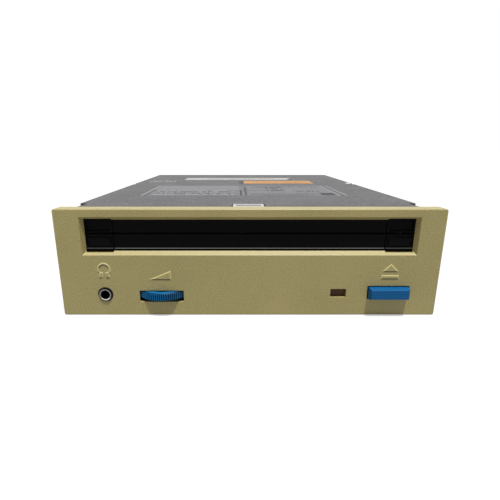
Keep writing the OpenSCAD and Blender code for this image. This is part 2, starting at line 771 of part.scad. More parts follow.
// Volume wheel on the shaft of a flat rotary control
ridge_d = 0.4;
wheel_chamfer = 0.45;
pot_gap = 0.4;
pot_half = wheel_y - face_back - pot_gap;
pot_drop = 0.6;
pot_h = wheel_z - wheel_t / 2 - desk_z - pot_drop;
pot_floor = 0.3;
pot_tab = [1, 2, 0.8];
pot_shaft_r = 1.5;
wheel_hub_r = 3.4;
wheel_dish_r = 8.6;
wheel_dish_d = 0.8;
module volume_wheel() {
  color(blue) aft() translate([wheel_x, wheel_y, wheel_z - wheel_t / 2]) difference() {
    intersection() {
      linear_extrude(wheel_t)
        polygon([for (i = [0 : 2 * wheel_ridges - 1])
          polar(wheel_r - (i % 2) * ridge_d, i * 180 / wheel_ridges)]);
      rotate_extrude() polygon([
        [0, 0], [wheel_r - wheel_chamfer, 0], [wheel_r + cut, wheel_chamfer + cut],
        [wheel_r + cut, wheel_t - wheel_chamfer - cut], [wheel_r - wheel_chamfer, wheel_t], [0, wheel_t]
      ]);
    }
    bar_z(pot_shaft_r + run_gap, -cut, wheel_t + cut);
    translate([0, 0, wheel_t - wheel_dish_d]) rotate_extrude() translate([wheel_hub_r, 0])
      square([wheel_dish_r - wheel_hub_r, wheel_dish_d + cut]);
  }
}
module volume_pot() {
  color(black) aft() translate([wheel_x, wheel_y, 0]) difference() {
    union() {
      block(both(pot_half), both(pot_half), [desk_z, desk_z + pot_h]);
      block([-pot_half + pot_tab[0], pot_half - pot_tab[0]], [pot_half - cut, pot_half + pot_tab[1]],
        [desk_z, desk_z + pot_tab[2]]);
    }
    bar_z(pot_shaft_r + run_gap, desk_z + pot_floor, desk_z + pot_h + cut);
  }
}
module pot_shaft() {
  color(steel) aft()
    bar_z(pot_shaft_r, desk_z + pot_floor + near, wheel_z + wheel_t / 2, [wheel_x, wheel_y]);
}

// Activity window and the lamp behind it
window_sink = 1.6;
window_flange = 0.7;
window_flange_t = 0.8;
window_gap = 0.1;
led_half = 2.4;
led_lens_r = 1.1;
led_nose = 0.6;
led_y = [-1.8, 2.6];
module activity_window() {
  color(amber) aft() {
    block(about(window_x, window_w / 2 - window_gap),
      [face + window_sink, face_back + near + window_flange_t],
        about(window_z, window_h / 2 - window_gap));
    block(about(window_x, window_w / 2 + window_flange),
      [face_back + near, face_back + near + window_flange_t],
        about(window_z, window_h / 2 + window_flange));
  }
}
module activity_led() {
  color(amber) aft() {
    block(about(window_x, led_half), led_y, [desk_z, window_z + led_lens_r]);
    bar_y(led_lens_r, led_y[0] - led_nose, led_y[0] + cut, [window_x, window_z]);
  }
}

// Eject button, its return spring and the switch it works
button_flange = 0.9;
button_flange_t = 1.2;
button_stem_r = 1.4;
button_bevel = 0.45;
button_taper = 1.1;
button_stem_end = 0.9;
flange_y = face_back + near;
spring_r = 2.2;
spring_wire = 0.4;
spring_turns = 5;
spring_end = 0.02;
switch_half = 3.2;
switch_gap = 1.1;
switch_d = 3.9;
switch_front = button_stem_end + button_travel + switch_gap;
switch_y = [switch_front, switch_front + switch_d];
plunger_r = 1.1;
plunger_l = 1;
spring_room = switch_y[0] - flange_y - button_flange_t - spring_wire;
module eject_button() {
  color(blue) aft() translate([button_x, 0, button_z]) {
    hull() {
      block(both(button_w / 2 - button_bevel), [face - button_proud, face - button_proud + sliver],
        both(button_h / 2 - button_bevel));
      block(both(button_w / 2),
        [face - button_proud + button_taper, face - button_proud + button_taper + sliver],
          both(button_h / 2));
    }
    block(both(button_w / 2), [face - button_proud + button_taper, flange_y + cut], both(button_h / 2));
    block(both(button_w / 2 + button_flange), [flange_y, flange_y + button_flange_t],
      both(button_h / 2 + button_flange));
    bar_y(button_stem_r, flange_y + button_flange_t - cut, button_stem_end);
  }
}
module eject_spring() {
  color(steel) aft()
    translate([button_x, flange_y + button_flange_t + spring_wire / 2 + spring_end, button_z])
      rotate([-90, 0, 0])
    coil_spring(spring_r, spring_wire, spring_room - 2 * spring_end, spring_turns, 0);
}
echo(eject_spring_least_gap = spring_room / spring_turns - spring_wire);
module eject_switch() {
  color(black) aft() {
    block(about(button_x, switch_half), switch_y, [desk_z, button_z + switch_half]);
    bar_y(plunger_r, switch_y[0] - plunger_l, switch_y[0] + cut, [button_x, button_z]);
  }
}

// Flat ribbon from the front board to the main board
ribbon_w = 16;
ribbon_t = 0.3;
ribbon_x = -8;
ribbon_lap = [4, 5];
ribbon_bend = 1;
board_front = 27;
board_set = 4;
board_y = [board_front, chassis_l - board_set];
module front_ribbon() {
  color(cream) aft() slab_x(ribbon_x, ribbon_x + ribbon_w) polygon([
    [front_board_y[1] - ribbon_lap[0], desk_z],
    [front_board_y[1], desk_z],
    [board_y[0] - ribbon_bend, board_top],
    [board_y[0] + ribbon_lap[1], board_top],
    [board_y[0] + ribbon_lap[1], board_top + ribbon_t],
    [board_y[0] - ribbon_bend - near, board_top + ribbon_t],
    [front_board_y[1] - near, desk_z + ribbon_t],
    [front_board_y[1] - ribbon_lap[0], desk_z + ribbon_t]
  ]);
}

// Main board, its chips and capacitors
board_side = 5.5;
board_half = wall_in - board_side;
motor_hole_gap = 1;
module main_board() {
  color(green) aft() difference() {
    block(both(board_half), board_y, [board_z, board_top]);
    both_sides() for (y = damper_rows) bar_z(screw_r + near, board_z - cut, board_top + cut, [post_x, y]);
    bar_z(sled_motor_r + motor_hole_gap, board_z - cut, board_top + cut, [sled_gear_x, sled_motor_y]);
  }
}

// Chips: middle in X and Y, width, length and height
chips = [
  [20, 100, 28, 28, 3.2],
  [-14, 76, 14, 20, 2.4],
  [30, 62, 18, 12, 1.8],
  [-34, 100, 10, 18, 2.4],
  [14, 140, 20, 14, 2.8],
  [-14, 150, 12, 18, 2.4],
  [44, 140, 10, 26, 1.8],
  [-40, 60, 12, 8, 1.8]
];
module board_chips() {
  color(black) aft() for (c = chips)
    block(about(c[0], c[2] / 2), about(c[1], c[3] / 2), [board_top, board_top + c[4]]);
}

// Capacitors: middle in X and Y
cap_side = 9.5;
cap_x = board_half - cap_side;
cap_ahead = 18.1;
capacitors = [[-cap_x, 90], [-cap_x, 102], [cap_x, 100], [cap_x, 112], [cap_x, board_y[1] - cap_ahead]];
cap_r = 3;
cap_h = 4.6;
module board_capacitors() {
  color(steel) aft() for (c = capacitors) bar_z(cap_r, board_top, board_top + cap_h, [c[0], c[1]]);
}

// Connectors along the rear edge of the main board
connector_proud = 0.6;
plug_y = chassis_l + connector_proud;
pin_pitch = 2.54;
pin_w = 0.64;
header_pins = 25;
header_w = 68;
header_side = 1.79;
header_h = 9;
header_d = 9;
header_wall = 1.3;
header_floor = 2.4;
header_tail = 1;
header_pin_set = 1;
header_key_w = 4.6;
power_side = 21;
power_x = wall_in - power_side;
power_w = 21;
power_h = 11;
power_d = 11;
power_wall = 1.2;
power_floor = 2;
power_tail = 1;
power_pin_set = 1.6;
power_pin_drop = 0.4;
power_pin_r = 1.05;
power_pitch = 5.08;
power_pin_count = 4;
audio_set = 11.1;
audio_x = audio_set - wall_in;
audio_pins = 4;
audio_side = 0.2;
jumper_step = 10.9;
jumper_x = audio_x + jumper_step;
jumper_pins = 3;
header_x = jumper_x + jumper_pins * pin_pitch / 2 + header_side + header_w / 2;
small_h = 6;
small_d = 6;
small_wall = 0.8;
small_floor = 1.6;
jumper_base = [1, 1.5];
jumper_pin_set = 0.4;
rear_openings = [
  [header_x - header_w / 2, header_x + header_w / 2, board_top, board_top + header_h],
  [power_x - power_w / 2, power_x + power_w / 2, board_top, board_top + power_h],
  [audio_x - audio_pins * pin_pitch / 2 - audio_side, audio_x + audio_pins * pin_pitch / 2 + audio_side,
    board_top, board_top + small_h],
  [jumper_x - jumper_pins * pin_pitch / 2, jumper_x + jumper_pins * pin_pitch / 2, board_top,
    board_top + small_h]
];
module data_header() {
  color(black) aft() difference() {
    block(about(header_x, header_w / 2), [plug_y - header_d, plug_y], [board_top, board_top + header_h]);
    block(about(header_x, header_w / 2 - header_wall), [plug_y - header_d + header_floor, plug_y + cut],
      [board_top + header_wall, board_top + header_h - header_wall]);
    block(about(header_x, header_key_w / 2), [plug_y - header_d + header_floor, plug_y + cut],
      [board_top + header_h / 2, board_top + header_h + cut]);
    header_pin_bars(plug_y - header_d - cut, tight);
  }
}
module header_pin_bars(from, spare) {
  for (i = [0 : header_pins - 1], z = [-1, 1])
    translate([header_x + (i - (header_pins - 1) / 2) * pin_pitch, 0,
      board_top + header_h / 2 + z * pin_pitch / 2])
    block(both(pin_w / 2 + spare), [from, plug_y - header_pin_set], both(pin_w / 2 + spare));
}
module data_header_pins() { color(brass) aft() header_pin_bars(plug_y - header_d - header_tail, 0); }
power_cut = 2.6;
power_cut_ease = 0.6;
module power_outline(inset) {
  w = power_w / 2 - inset;
  h = power_h - inset;
  c = power_cut - inset * power_cut_ease;
  polygon([[-w, inset], [w, inset], [w, h - c], [w - c, h], [-w + c, h], [-w, h - c]]);
}
module power_socket() {
  color(cream) aft() translate([power_x, 0, board_top]) difference() {
    slab_y(plug_y - power_d, plug_y) power_outline(0);
    slab_y(plug_y - power_d + power_floor, plug_y + cut) power_outline(power_wall);
    power_pin_bars(plug_y - power_d - cut, tight);
  }
}
module power_pin_bars(from, spare) {
  for (i = [0 : power_pin_count - 1])
    bar_y(power_pin_r + spare, from, plug_y - power_pin_set,
      [(i - (power_pin_count - 1) / 2) * power_pitch, power_h / 2 - power_pin_drop]);
}
module power_pins() { color(brass) aft() translate([power_x, 0, board_top])
  power_pin_bars(plug_y - power_d - power_tail, 0); }
module audio_header() {
  w = audio_pins * pin_pitch / 2 + audio_side;
  color(cream) aft() translate([audio_x, 0, board_top]) {
    difference() {
      block(both(w), [plug_y - small_d, plug_y], [0, small_h]);
      block(both(w - small_wall), [plug_y - small_d + small_floor, plug_y + cut],
        [small_wall, small_h - small_wall]);
    }
    for (i = [0 : audio_pins - 1]) translate([(i - (audio_pins - 1) / 2) * pin_pitch, 0, small_h / 2])
      block(both(pin_w / 2), [plug_y - small_d + small_floor - cut, plug_y - small_wall], both(pin_w / 2));
  }
}
module jumper_header() {
  w = jumper_pins * pin_pitch / 2;
  color(black) aft() translate([jumper_x, 0, board_top]) {
    block(both(w), [plug_y - small_d - jumper_base[0], plug_y - small_d + jumper_base[1]],
      [0, 2 * pin_pitch]);
    for (i = [0 : jumper_pins - 1], k = [0, 1])
      translate([(i - (jumper_pins - 1) / 2) * pin_pitch, 0, (k + 0.5) * pin_pitch])
      block(both(pin_w / 2), [plug_y - small_d, plug_y - jumper_pin_set], both(pin_w / 2));
  }
}

// Optical base, on dampers
base_side = 6;
base_half = damper_x + base_side;
damper_foot = 2;
base_z = shelf_z + shelf_t + damper_foot;
base_t = 1.6;
base_top = base_z + base_t;
base_lip_h = 0.6;
base_lip_t = 1.2;
opening_half = 18;
opening_set = [20, 10];
sled_opening = [spindle_y + opening_set[0], base_y[1] - opening_set[1]];
damper_r = 4;
damper_neck = 2.9;
damper_bore = 1.45;
damper_head = 2;
damper_top = base_top + damper_head;
rod_rise = 3.2;
rod_z = base_top + rod_rise;
rod_set = [10, 3];
rod_ends = [spindle_y + rod_set[0], base_y[1] - rod_set[1]];
rod_post = 3;
rod_post_half = 3.2;
rod_post_roof = 1.4;
rod_post_h = rod_z + rod_r + rod_post_roof;
gear_post_r = 1.2;
gear_post_h = 7.8;
gear_post_top = base_top + gear_post_h;
gear_collar = 1;
module optical_base() {
  color(zinc) aft() difference() {
    union() {
      block(both(base_half), base_y, [base_z, base_top]);
      both_sides() {
        block([base_half - base_lip_t, base_half], base_y, [base_z + cut, base_top + base_lip_h]);
        for (y = [rod_ends[0], rod_ends[1] - rod_post])
          block(about(rod_x, rod_post_half), [y, y + rod_post], [base_z + cut, rod_post_h]);
      }
      bar_z(gear_post_r, base_z + cut, gear_post_top, [sled_gear_x, sled_gear_y]);
      bar_z(gear_post_r + gear_collar, base_z + cut, sled_gear_z - near, [sled_gear_x, sled_gear_y]);
    }
    block(both(opening_half), sled_opening, [base_z - cut, base_top + cut]);
    both_sides() {
      for (y = damper_rows) bar_z(damper_neck + run_gap, base_z - cut, base_top + cut, [damper_x, y]);
      bar_y(rod_r + tight, rod_ends[0] - cut, rod_ends[1] + cut, [rod_x, rod_z]);
    }
    bar_z(stator_tube_r + run_gap, base_z - cut, base_top + cut, [0, spindle_y]);
    bar_z(sled_boss_r + run_gap, base_z - cut, base_top + cut, [sled_gear_x, sled_motor_y]);
  }
}
module rubber_dampers() {
  color(rubber) aft() both_sides() for (y = damper_rows) translate([damper_x, y, 0]) rotate_extrude()
    polygon([
    [damper_bore, shelf_z + shelf_t], [damper_r, shelf_z + shelf_t], [damper_r, base_z],
      [damper_neck, base_z],
    [damper_neck, base_top], [damper_r, base_top], [damper_r, damper_top], [damper_bore, damper_top]
  ]);
}
module guide_rods() {
  color(steel) aft() both_sides() bar_y(rod_r, rod_ends[0], rod_ends[1], [rod_x, rod_z]);
}

// Screws of the boards and the dampers
module mechanism_screws() {
  color(steel) aft() both_sides() {
    for (y = damper_rows) {
      translate([damper_x, y, damper_top]) pan_screw(damper_top - shelf_z - near);
      translate([post_x, y, board_z]) mirror([0, 0, 1]) pan_screw(shelf_z + shelf_t - board_z - near);
    }
    translate([board_screw_x, board_screw_y, desk_z]) pan_screw(desk_z - sheet_t - 2 * near);
  }
}

// Spindle: stator with bearing tube and coils, rotor can with shaft, turntable
stator_r = 12;
stator_t = 1;
stator_tube_r = 3;
stator_tube_out = [1.6, 4.8];
stator_tube = [base_z - stator_tube_out[0], base_top + stator_tube_out[1]];
tube_floor = 0.4;
coil_r = [5, 10.6];
coil_h = 3.6;
coil_top = base_top + coil_h;
rotor_r = 13;
rotor_wall = 0.8;
rotor_lift = 1.6;
rotor_h = 5;
rotor_z = [base_top + rotor_lift, base_top + rotor_lift + rotor_h];
spindle_r = 1.5;
spindle_drop = 1;
spindle_foot = base_z - spindle_drop;
turntable_t = 2.4;
hub_r = 7.4;
hub_h = 1.5;
hub_taper = 1.2;
hub_neck_r = 5;
module spindle_stator() {
  color(copper) aft() translate([0, spindle_y, 0]) difference() {
    union() {
      bar_z(stator_r, base_top, base_top + stator_t);
      bar_z(stator_tube_r, stator_tube[0], stator_tube[1]);
      difference() {
        bar_z(coil_r[1], base_top, coil_top);
        bar_z(coil_r[0], base_top + stator_t, coil_top + cut);
      }
    }
    bar_z(spindle_r + run_gap, stator_tube[0] + tube_floor, stator_tube[1] + cut);
  }
}
module spindle_rotor() {
  color(steel) aft() translate([0, spindle_y, 0]) {
    difference() {
      bar_z(rotor_r, rotor_z[0], rotor_z[1]);
      bar_z(rotor_r - rotor_wall, rotor_z[0] - cut, rotor_z[1] - rotor_wall);
    }
    bar_z(spindle_r, spindle_foot, turntable_z);
  }
}
module turntable() {
  color(black) aft() translate([0, spindle_y, 0]) difference() {
    rotate_extrude() polygon([
      [0, rotor_z[1]], [hub_neck_r, rotor_z[1]], [hub_neck_r, turntable_z - turntable_t],
        [turntable_r, turntable_z - turntable_t],
      [turntable_r, turntable_z], [hub_r, turntable_z], [hub_r - hub_taper, turntable_z + hub_h],
        [0, turntable_z + hub_h]
    ]);
    bar_z(spindle_r + tight, rotor_z[1] - cut, turntable_z + tight);
  }
}

// Pickup sled on the two rods, with a rack on an arm
sled_gap = 1.3;
sled_front = spindle_y + turntable_r + sled_gap;
sled_l = 27;
sled_side = 3.4;
sled_half = rod_x - sled_side;
sled_lift = 0.8;
sled_h = 5.6;
sled_z = [base_top + sled_lift, base_top + sled_lift + sled_h];
lens_step = 24;
lens_y = spindle_y + lens_step;
lens_half = [8, 6.5];
lens_rise = [0.5, 2];
lens_z = [sled_z[1] + lens_rise[0], sled_z[1] + lens_rise[1]];
lens_t = 1;
lens_skirt = 2;
lens_seat = 0.6;
lens_room = 1;
lens_r = 2.8;
lens_dome = 0.6;
lens_well = 3.4;
lens_pin_x = 5.4;
lens_pin_r = 0.7;
lens_pin_over = 0.6;
bushing_out = 2.9;
fork_t = 1.2;
fork_gap = 0.06;
fork_over = 1;
fork_y = [8, 18];
arm_set = 2;
arm_step = 0.4;
rack_x = -36.5;
rack_rise = 5.2;
rack_t = 1.6;
rack_z = [base_top + rack_rise, base_top + rack_rise + rack_t];
rack_back = 1.6;
rack_over = 4;
sled_pitch_r = sled_module * sled_pinion_teeth / 2;
sled_gear_r = sled_module * sled_gear_teeth / 2;
sled_gear_x = rack_x - sled_pitch_r;
gear_step = 22;
sled_gear_y = lens_y + gear_step;
sled_motor_y = sled_gear_y + sled_gear_r + sled_pitch_r;
sled_gear_lift = 0.8;
sled_gear_z = base_top + sled_gear_lift;
sled_gear_t = 2;
sled_gear_top = sled_gear_z + sled_gear_t;
sled_gear_over = 0.4;
pinion_over = 0.3;
sled_motor_r = 7.5;
sled_motor_foot = 2;
sled_boss_r = 3;
module pickup_sled() {
  color(black) aft() difference() {
    union() {
      block(both(sled_half), [sled_front, sled_front + sled_l], sled_z);
      bar_y(bushing_out, sled_front, sled_front + sled_l, [rod_x, rod_z]);
      block([sled_half - cut, rod_x], [sled_front, sled_front + sled_l], about(rod_z, fork_t));
      for (z = [rod_z - rod_r - fork_t - fork_gap, rod_z + rod_r + fork_gap])
        block([-rod_x - rod_r - fork_over, -sled_half + cut],
          [sled_front + fork_y[0], sled_front + fork_y[1]], [z, z + fork_t]);
      block([rack_x + tooth_root * sled_module + cut, -sled_half + cut],
        [sled_front + arm_set, sled_front + sled_l - arm_set], [rack_z[0] + arm_step, rack_z[1] - near]);
      translate([rack_x, sled_gear_y, rack_z[0]]) linear_extrude(rack_z[1] - rack_z[0]) rotate(90)
        rack_2d(-sled_travel - rack_over, rack_over, sled_module, rack_back);
    }
    bar_y(rod_r + run_gap, sled_front - cut, sled_front + sled_l + cut, [rod_x, rod_z]);
    block([-lens_half[0] - lens_room, lens_half[0] + lens_room], about(lens_y, lens_half[1] + lens_room),
      [sled_z[1] - lens_well, sled_z[1] + cut]);
    bar_z(lens_r, sled_z[0] - cut, sled_z[1] + cut, [0, lens_y]);
  }
  color(steel) aft()
    bar_z(lens_pin_r, sled_z[1] - lens_well - cut, lens_z[1] + lens_pin_over, [lens_pin_x, lens_y]);
}
module lens_holder() {
  color(black) aft() translate([0, lens_y, 0]) difference() {
    block(both(lens_half[0]), both(lens_half[1]), [lens_z[0] - lens_skirt, lens_z[1]]);
    bar_z(lens_r - lens_seat, lens_z[0] - lens_skirt - cut, lens_z[1] + cut);
    bar_z(lens_r + tight, lens_z[1] - lens_t, lens_z[1] + cut);
    bar_z(lens_pin_r + run_gap, lens_z[0] - lens_skirt - cut, lens_z[1] + cut, [lens_pin_x, 0]);
  }
}
module objective_lens() {
  dome = (lens_r ^ 2 + lens_dome ^ 2) / (2 * lens_dome);
  color(glass) aft() translate([0, lens_y, 0]) {
    bar_z(lens_r, lens_z[1] - lens_t, lens_z[1]);
    intersection() {
      translate([0, 0, lens_z[1] + lens_dome - dome]) sphere(dome);
      bar_z(lens_r, lens_z[1] - lens_t / 2, lens_z[1] + lens_dome + cut);
    }
  }
}
module sled_motor() {
  color(steel) aft() translate([sled_gear_x, sled_motor_y, 0]) {
    bar_z(sled_motor_r, sled_motor_foot, base_z);
    difference() {
      bar_z(sled_boss_r, base_z - cut, base_top);
      bar_z(gear_post_r + run_gap, base_z, base_top + cut);
    }
  }
}
module sled_pinion() {
  color(brass) aft() translate([sled_gear_x, sled_motor_y, 0]) {
    translate([0, 0, sled_gear_z - pinion_over])
      linear_extrude(sled_gear_t + 2 * pinion_over) gear_2d(sled_pinion_teeth, sled_module,
        -90 + 180 / sled_pinion_teeth);
    bar_z(gear_post_r, base_z + near, sled_gear_z);
  }
}
module sled_gear() {
  color(cream) aft() translate([sled_gear_x, sled_gear_y, 0]) difference() {
    union() {
      translate([0, 0, sled_gear_z]) linear_extrude(sled_gear_t) gear_2d(sled_gear_teeth, sled_module, 90);
      translate([0, 0, sled_gear_top - cut])
        linear_extrude(rack_z[1] + sled_gear_over - sled_gear_top + cut)
        gear_2d(sled_pinion_teeth, sled_module, 0);
    }
    bar_z(gear_post_r + run_gap, sled_gear_z - cut, rack_z[1] + sled_gear_over + cut);
  }
}

// Caddy carrier: side channels under a top plate that is open in the middle for the clamp arm
carrier_gap = 0.3;
carrier_in = caddy_w / 2 + carrier_gap;
carrier_out = carrier_in + carrier_t;
carrier_floor = slot_z - caddy_t / 2 - carrier_gap;
carrier_roof = slot_z + caddy_t / 2 + carrier_gap;
rail_w = 8;
arm_opening = 17;
arm_opening_ahead = 20;
arm_opening_y = spindle_y - arm_opening_ahead;
stop_half = 30;
side_window_reach = [16, 24];
side_window = [spindle_y - side_window_reach[0], spindle_y + side_window_reach[1]];
side_window_edge = 1.5;
roof_window = [20, 50, 3];
pin_end = 0.02;
module caddy_carrier() {
  color(steel) aft() difference() {
    union() {
      both_sides() {
        block([carrier_in, carrier_out], carrier_y, [carrier_floor - carrier_t, carrier_roof + carrier_t]);
        block([carrier_out - rail_w, carrier_out], carrier_y, [carrier_floor - carrier_t, carrier_floor]);
        block([stop_half, carrier_out], [carrier_y[1] - carrier_t, carrier_y[1]],
          [carrier_floor - carrier_t, carrier_roof + carrier_t]);
      }
      block(both(carrier_out), carrier_y, [carrier_roof, carrier_roof + carrier_t]);
    }
    block(both(arm_opening), [arm_opening_y, carrier_y[1] + cut],
      [carrier_roof - cut, carrier_roof + carrier_t + cut]);
    both_sides() {
      for (y = pin_rows) bar_x(lift_pin_r, carrier_in - cut, carrier_out + cut, [y, pin_z]);
      block([carrier_in - cut, carrier_out + cut], side_window,
        [carrier_floor + side_window_edge, carrier_roof - side_window_edge]);
      translate([0, 0, carrier_roof - cut]) linear_extrude(carrier_t + 2 * cut)
        translate([(arm_opening + carrier_in) / 2, spindle_y])
          round_rect(roof_window[0], roof_window[1], roof_window[2]);
    }
  }
}
module lift_pins() {
  color(steel) aft() both_sides() for (y = pin_rows)
    bar_x(lift_pin_r, carrier_in + pin_end, wall_in + groove_d - loose, [y, pin_z]);
}

// Cam plates: sloped slots lower the carrier, level slots ride on pins, with a rack under the tail
cam_side = 1.8;
cam_out = wall_in - cam_side;
cam_in = cam_out - cam_t;
cam_reach = [10.6, 3.4];
cam_z = [pin_z - cam_reach[0], pin_z + cam_reach[1]];
cam_front = 22;
cam_behind = 7;
cam_y = [cam_front, shaft_y + cam_behind];
cam_tail_l = 22;
cam_tail_y = shaft_y - cam_tail_l;
cam_tail_drop = 6;
cam_tail_top = pin_z - cam_tail_drop;
cam_pitch_r = load_module * cam_pinion_teeth / 2;
rack_line = shaft_z + cam_pitch_r;
guide_ahead = [36, 28];
guide_rows = [pin_rows[1] - guide_ahead[0], shaft_y - guide_ahead[1]];
guide_drop = 7.4;
guide_z = pin_z - guide_drop;
guide_pin_r = 1.5;
guide_slot = guide_pin_r + near;
guide_seat = 1;
guide_head_r = 2.6;
guide_head_t = 0.9;
cam_window_step = [16, 24];
cam_windows = [pin_rows[0] + cam_window_step[0], pin_rows[1] - cam_window_step[1]];
cam_window = [16, 6, 1];
cam_window_rise = 1;
cam_window_z = (cam_z[0] + cam_z[1]) / 2 + cam_window_rise;
cam_rack_over = 4;
cam_rack = [-cam_travel - cam_rack_over, cam_rack_over];
cam_over = 0.5;
cam_slope = 6;
cam_step = 4;
module cam_plate() {
  root = rack_line + tooth_root * load_module;
  teeth = [for (p = rack_points(cam_rack[0], cam_rack[1], load_module)) [shaft_y + p.x, rack_line - p.y]];
  color(steel) aft() slab_x(cam_in, cam_out) difference() {
    polygon(concat(
      [[cam_y[0], cam_z[0]], [shaft_y + cam_rack[0], cam_z[0]], [shaft_y + cam_rack[0], root]],
      teeth,
      [[shaft_y + cam_rack[1], root], [shaft_y + cam_rack[1], cam_z[0]], [cam_y[1], cam_z[0]]],
      [[cam_y[1], cam_tail_top], [cam_tail_y, cam_tail_top],
        [cam_tail_y - cam_slope, cam_z[1] - cam_step]],
      [[pin_rows[1] + cam_slope, cam_z[1]], [cam_y[0], cam_z[1]]]
    ));
    for (y = pin_rows) slot_2d([y - cam_travel, pin_z - lift], [y, pin_z], pin_slot);
    for (y = guide_rows) slot_2d([y - cam_travel - cam_over, guide_z], [y + cam_over, guide_z],
      guide_slot);
    for (y = cam_windows) translate([y, cam_window_z])
      round_rect(cam_window[0], cam_window[1], cam_window[2]);
  }
}
module cam_plate_right() { cam_plate(); }
module cam_plate_left() { mirror([1, 0, 0]) cam_plate(); }
module cam_guide_pins() {
  color(steel) aft() both_sides() for (y = guide_rows) translate([0, y, guide_z]) {
    bar_x(guide_pin_r, cam_in - loose - guide_head_t, wall_in + guide_seat - near);
    bar_x(guide_head_r, cam_in - loose - guide_head_t, cam_in - loose);
  }
}

// Cross shaft with a pinion under each cam plate and the loading gear
shaft_over = 0.6;
load_gear_x = [20, 22];
load_hub_r = 3;
load_hub_l = 2.5;
load_gear_r = load_module * load_gear_teeth / 2;
load_pinion_r = load_module * load_pinion_teeth / 2;
mesh_angle = 53.13;
pulley_y = shaft_y + (load_gear_r + load_pinion_r) * cos(mesh_angle);
pulley_z = shaft_z + (load_gear_r + load_pinion_r) * sin(mesh_angle);
module cross_shaft() {
  color(steel) aft() bar_x(shaft_r, -cam_out - shaft_over, cam_out + shaft_over, [shaft_y, shaft_z]);
}
module cross_shaft_gears() {
  color(cream) aft() translate([0, shaft_y, shaft_z]) {
    both_sides() slab_x(cam_in - loose, cam_out + loose) difference() {
      gear_2d(cam_pinion_teeth, load_module, 90);
      circle(shaft_r + tight);
    }
    slab_x(load_gear_x[0], load_gear_x[1]) difference() {
      gear_2d(load_gear_teeth, load_module, mesh_angle);
      circle(shaft_r + tight);
    }
    difference() {
      bar_x(load_hub_r, load_gear_x[0] - load_hub_l, load_gear_x[0] + cut);
      bar_x(shaft_r + tight, load_gear_x[0] - load_hub_l - cut, load_gear_x[0] + 2 * cut);
    }
  }
}

// Belt pulley with its pinion, motor with its pulley, belt, and the bracket that holds them
pulley_x = [23, 26];
groove_w = 1.6;
belt_w = 1.2;
belt_t = 1;
belt_gap = 0.06;
flange_h = 1;
axle_r = 1.2;
motor_r = 5.8;
motor_drop = 1.7;
motor_z = wall_top - motor_r - motor_drop;
belt_span = 11.46;
motor_y = pulley_y + sqrt(belt_span ^ 2 - (motor_z - pulley_z) ^ 2);
motor_l = 20;
motor_shaft_r = 1;
motor_shaft_in = 1;
motor_boss_r = 2.4;
axle_over = 0.6;
axle_collar = 1;
bracket_x = [27, 28.4];
bracket_edge = 4;
bracket_low = [6, 12];
bracket_rise = 2;
bracket_high = 6;
bracket_slope = 8;
bracket_foot = [9, 1.4, 5];
module pulley(r) {
  w = (pulley_x[1] - pulley_x[0] - groove_w) / 2;
  bar_x(r + flange_h, pulley_x[0], pulley_x[0] + w);
  bar_x(r, pulley_x[0] + w - cut, pulley_x[1] - w + cut);
  bar_x(r + flange_h, pulley_x[1] - w, pulley_x[1]);
}
module belt_pulley() {
  color(cream) aft() translate([0, pulley_y, pulley_z]) difference() {
    union() {
      pulley(pulley_r);
      slab_x(load_gear_x[0] - loose, pulley_x[0] + cut) gear_2d(load_pinion_teeth, load_module,
        mesh_angle + 180 + 180 / load_pinion_teeth);
    }
    bar_x(axle_r + run_gap, load_gear_x[0] - loose - cut, pulley_x[1] + cut);
  }
}
module motor_pulley() {
  color(brass) aft() translate([0, motor_y, motor_z]) {
    pulley(motor_pulley_r);
    bar_x(motor_shaft_r, pulley_x[1] - cut, bracket_x[0] + motor_shaft_in);
  }
}
module belt_loop(r) {
  hull() {
    translate([pulley_y, pulley_z]) circle(pulley_r + r);
    translate([motor_y, motor_z]) circle(motor_pulley_r + r);
  }
}
module drive_belt() {
  mid = (pulley_x[0] + pulley_x[1]) / 2;
  color(rubber) aft() slab_x(mid - belt_w / 2, mid + belt_w / 2) difference() {
    belt_loop(belt_gap + belt_t);
    belt_loop(belt_gap);
  }
}
module loading_motor() {
  color(steel) aft() translate([0, motor_y, motor_z]) difference() {
    union() {
      bar_x(motor_r, bracket_x[1], bracket_x[1] + motor_l);
      bar_x(motor_boss_r, bracket_x[0], bracket_x[1] + cut);
    }
    bar_x(motor_shaft_r + run_gap, bracket_x[0] - cut, bracket_x[0] + motor_shaft_in + 2 * near);
  }
}
module loading_bracket() {
  color(zinc) aft() difference() {
    union() {
      slab_x(bracket_x[0], bracket_x[1]) polygon([
        [shaft_y - bracket_edge, shaft_z - bracket_edge],
        [shaft_y + bracket_low[0], shaft_z - bracket_edge],
        [shaft_y + bracket_low[1], shaft_z + bracket_rise],
        [rear_in, shaft_z + bracket_rise],
        [rear_in, motor_z + bracket_high],
        [motor_y - bracket_slope, motor_z + bracket_high],
        [shaft_y - bracket_edge, shaft_z + bracket_slope]
      ]);
      block([bracket_x[0], bracket_x[1] + bracket_foot[0]], [rear_in - bracket_foot[1], rear_in],
        [shaft_z + bracket_rise, shaft_z + bracket_rise + bracket_foot[2]]);
      bar_x(axle_r, load_gear_x[0] - axle_over, bracket_x[0] + cut, [pulley_y, pulley_z]);
      bar_x(axle_r + axle_collar, pulley_x[1] + near, bracket_x[0] + cut, [pulley_y, pulley_z]);
    }
    bar_x(motor_boss_r + tight, bracket_x[0] - cut, bracket_x[1] + cut, [motor_y, motor_z]);
    bar_x(shaft_r + run_gap, bracket_x[0] - cut, bracket_x[1] + cut, [shaft_y, shaft_z]);
  }
}

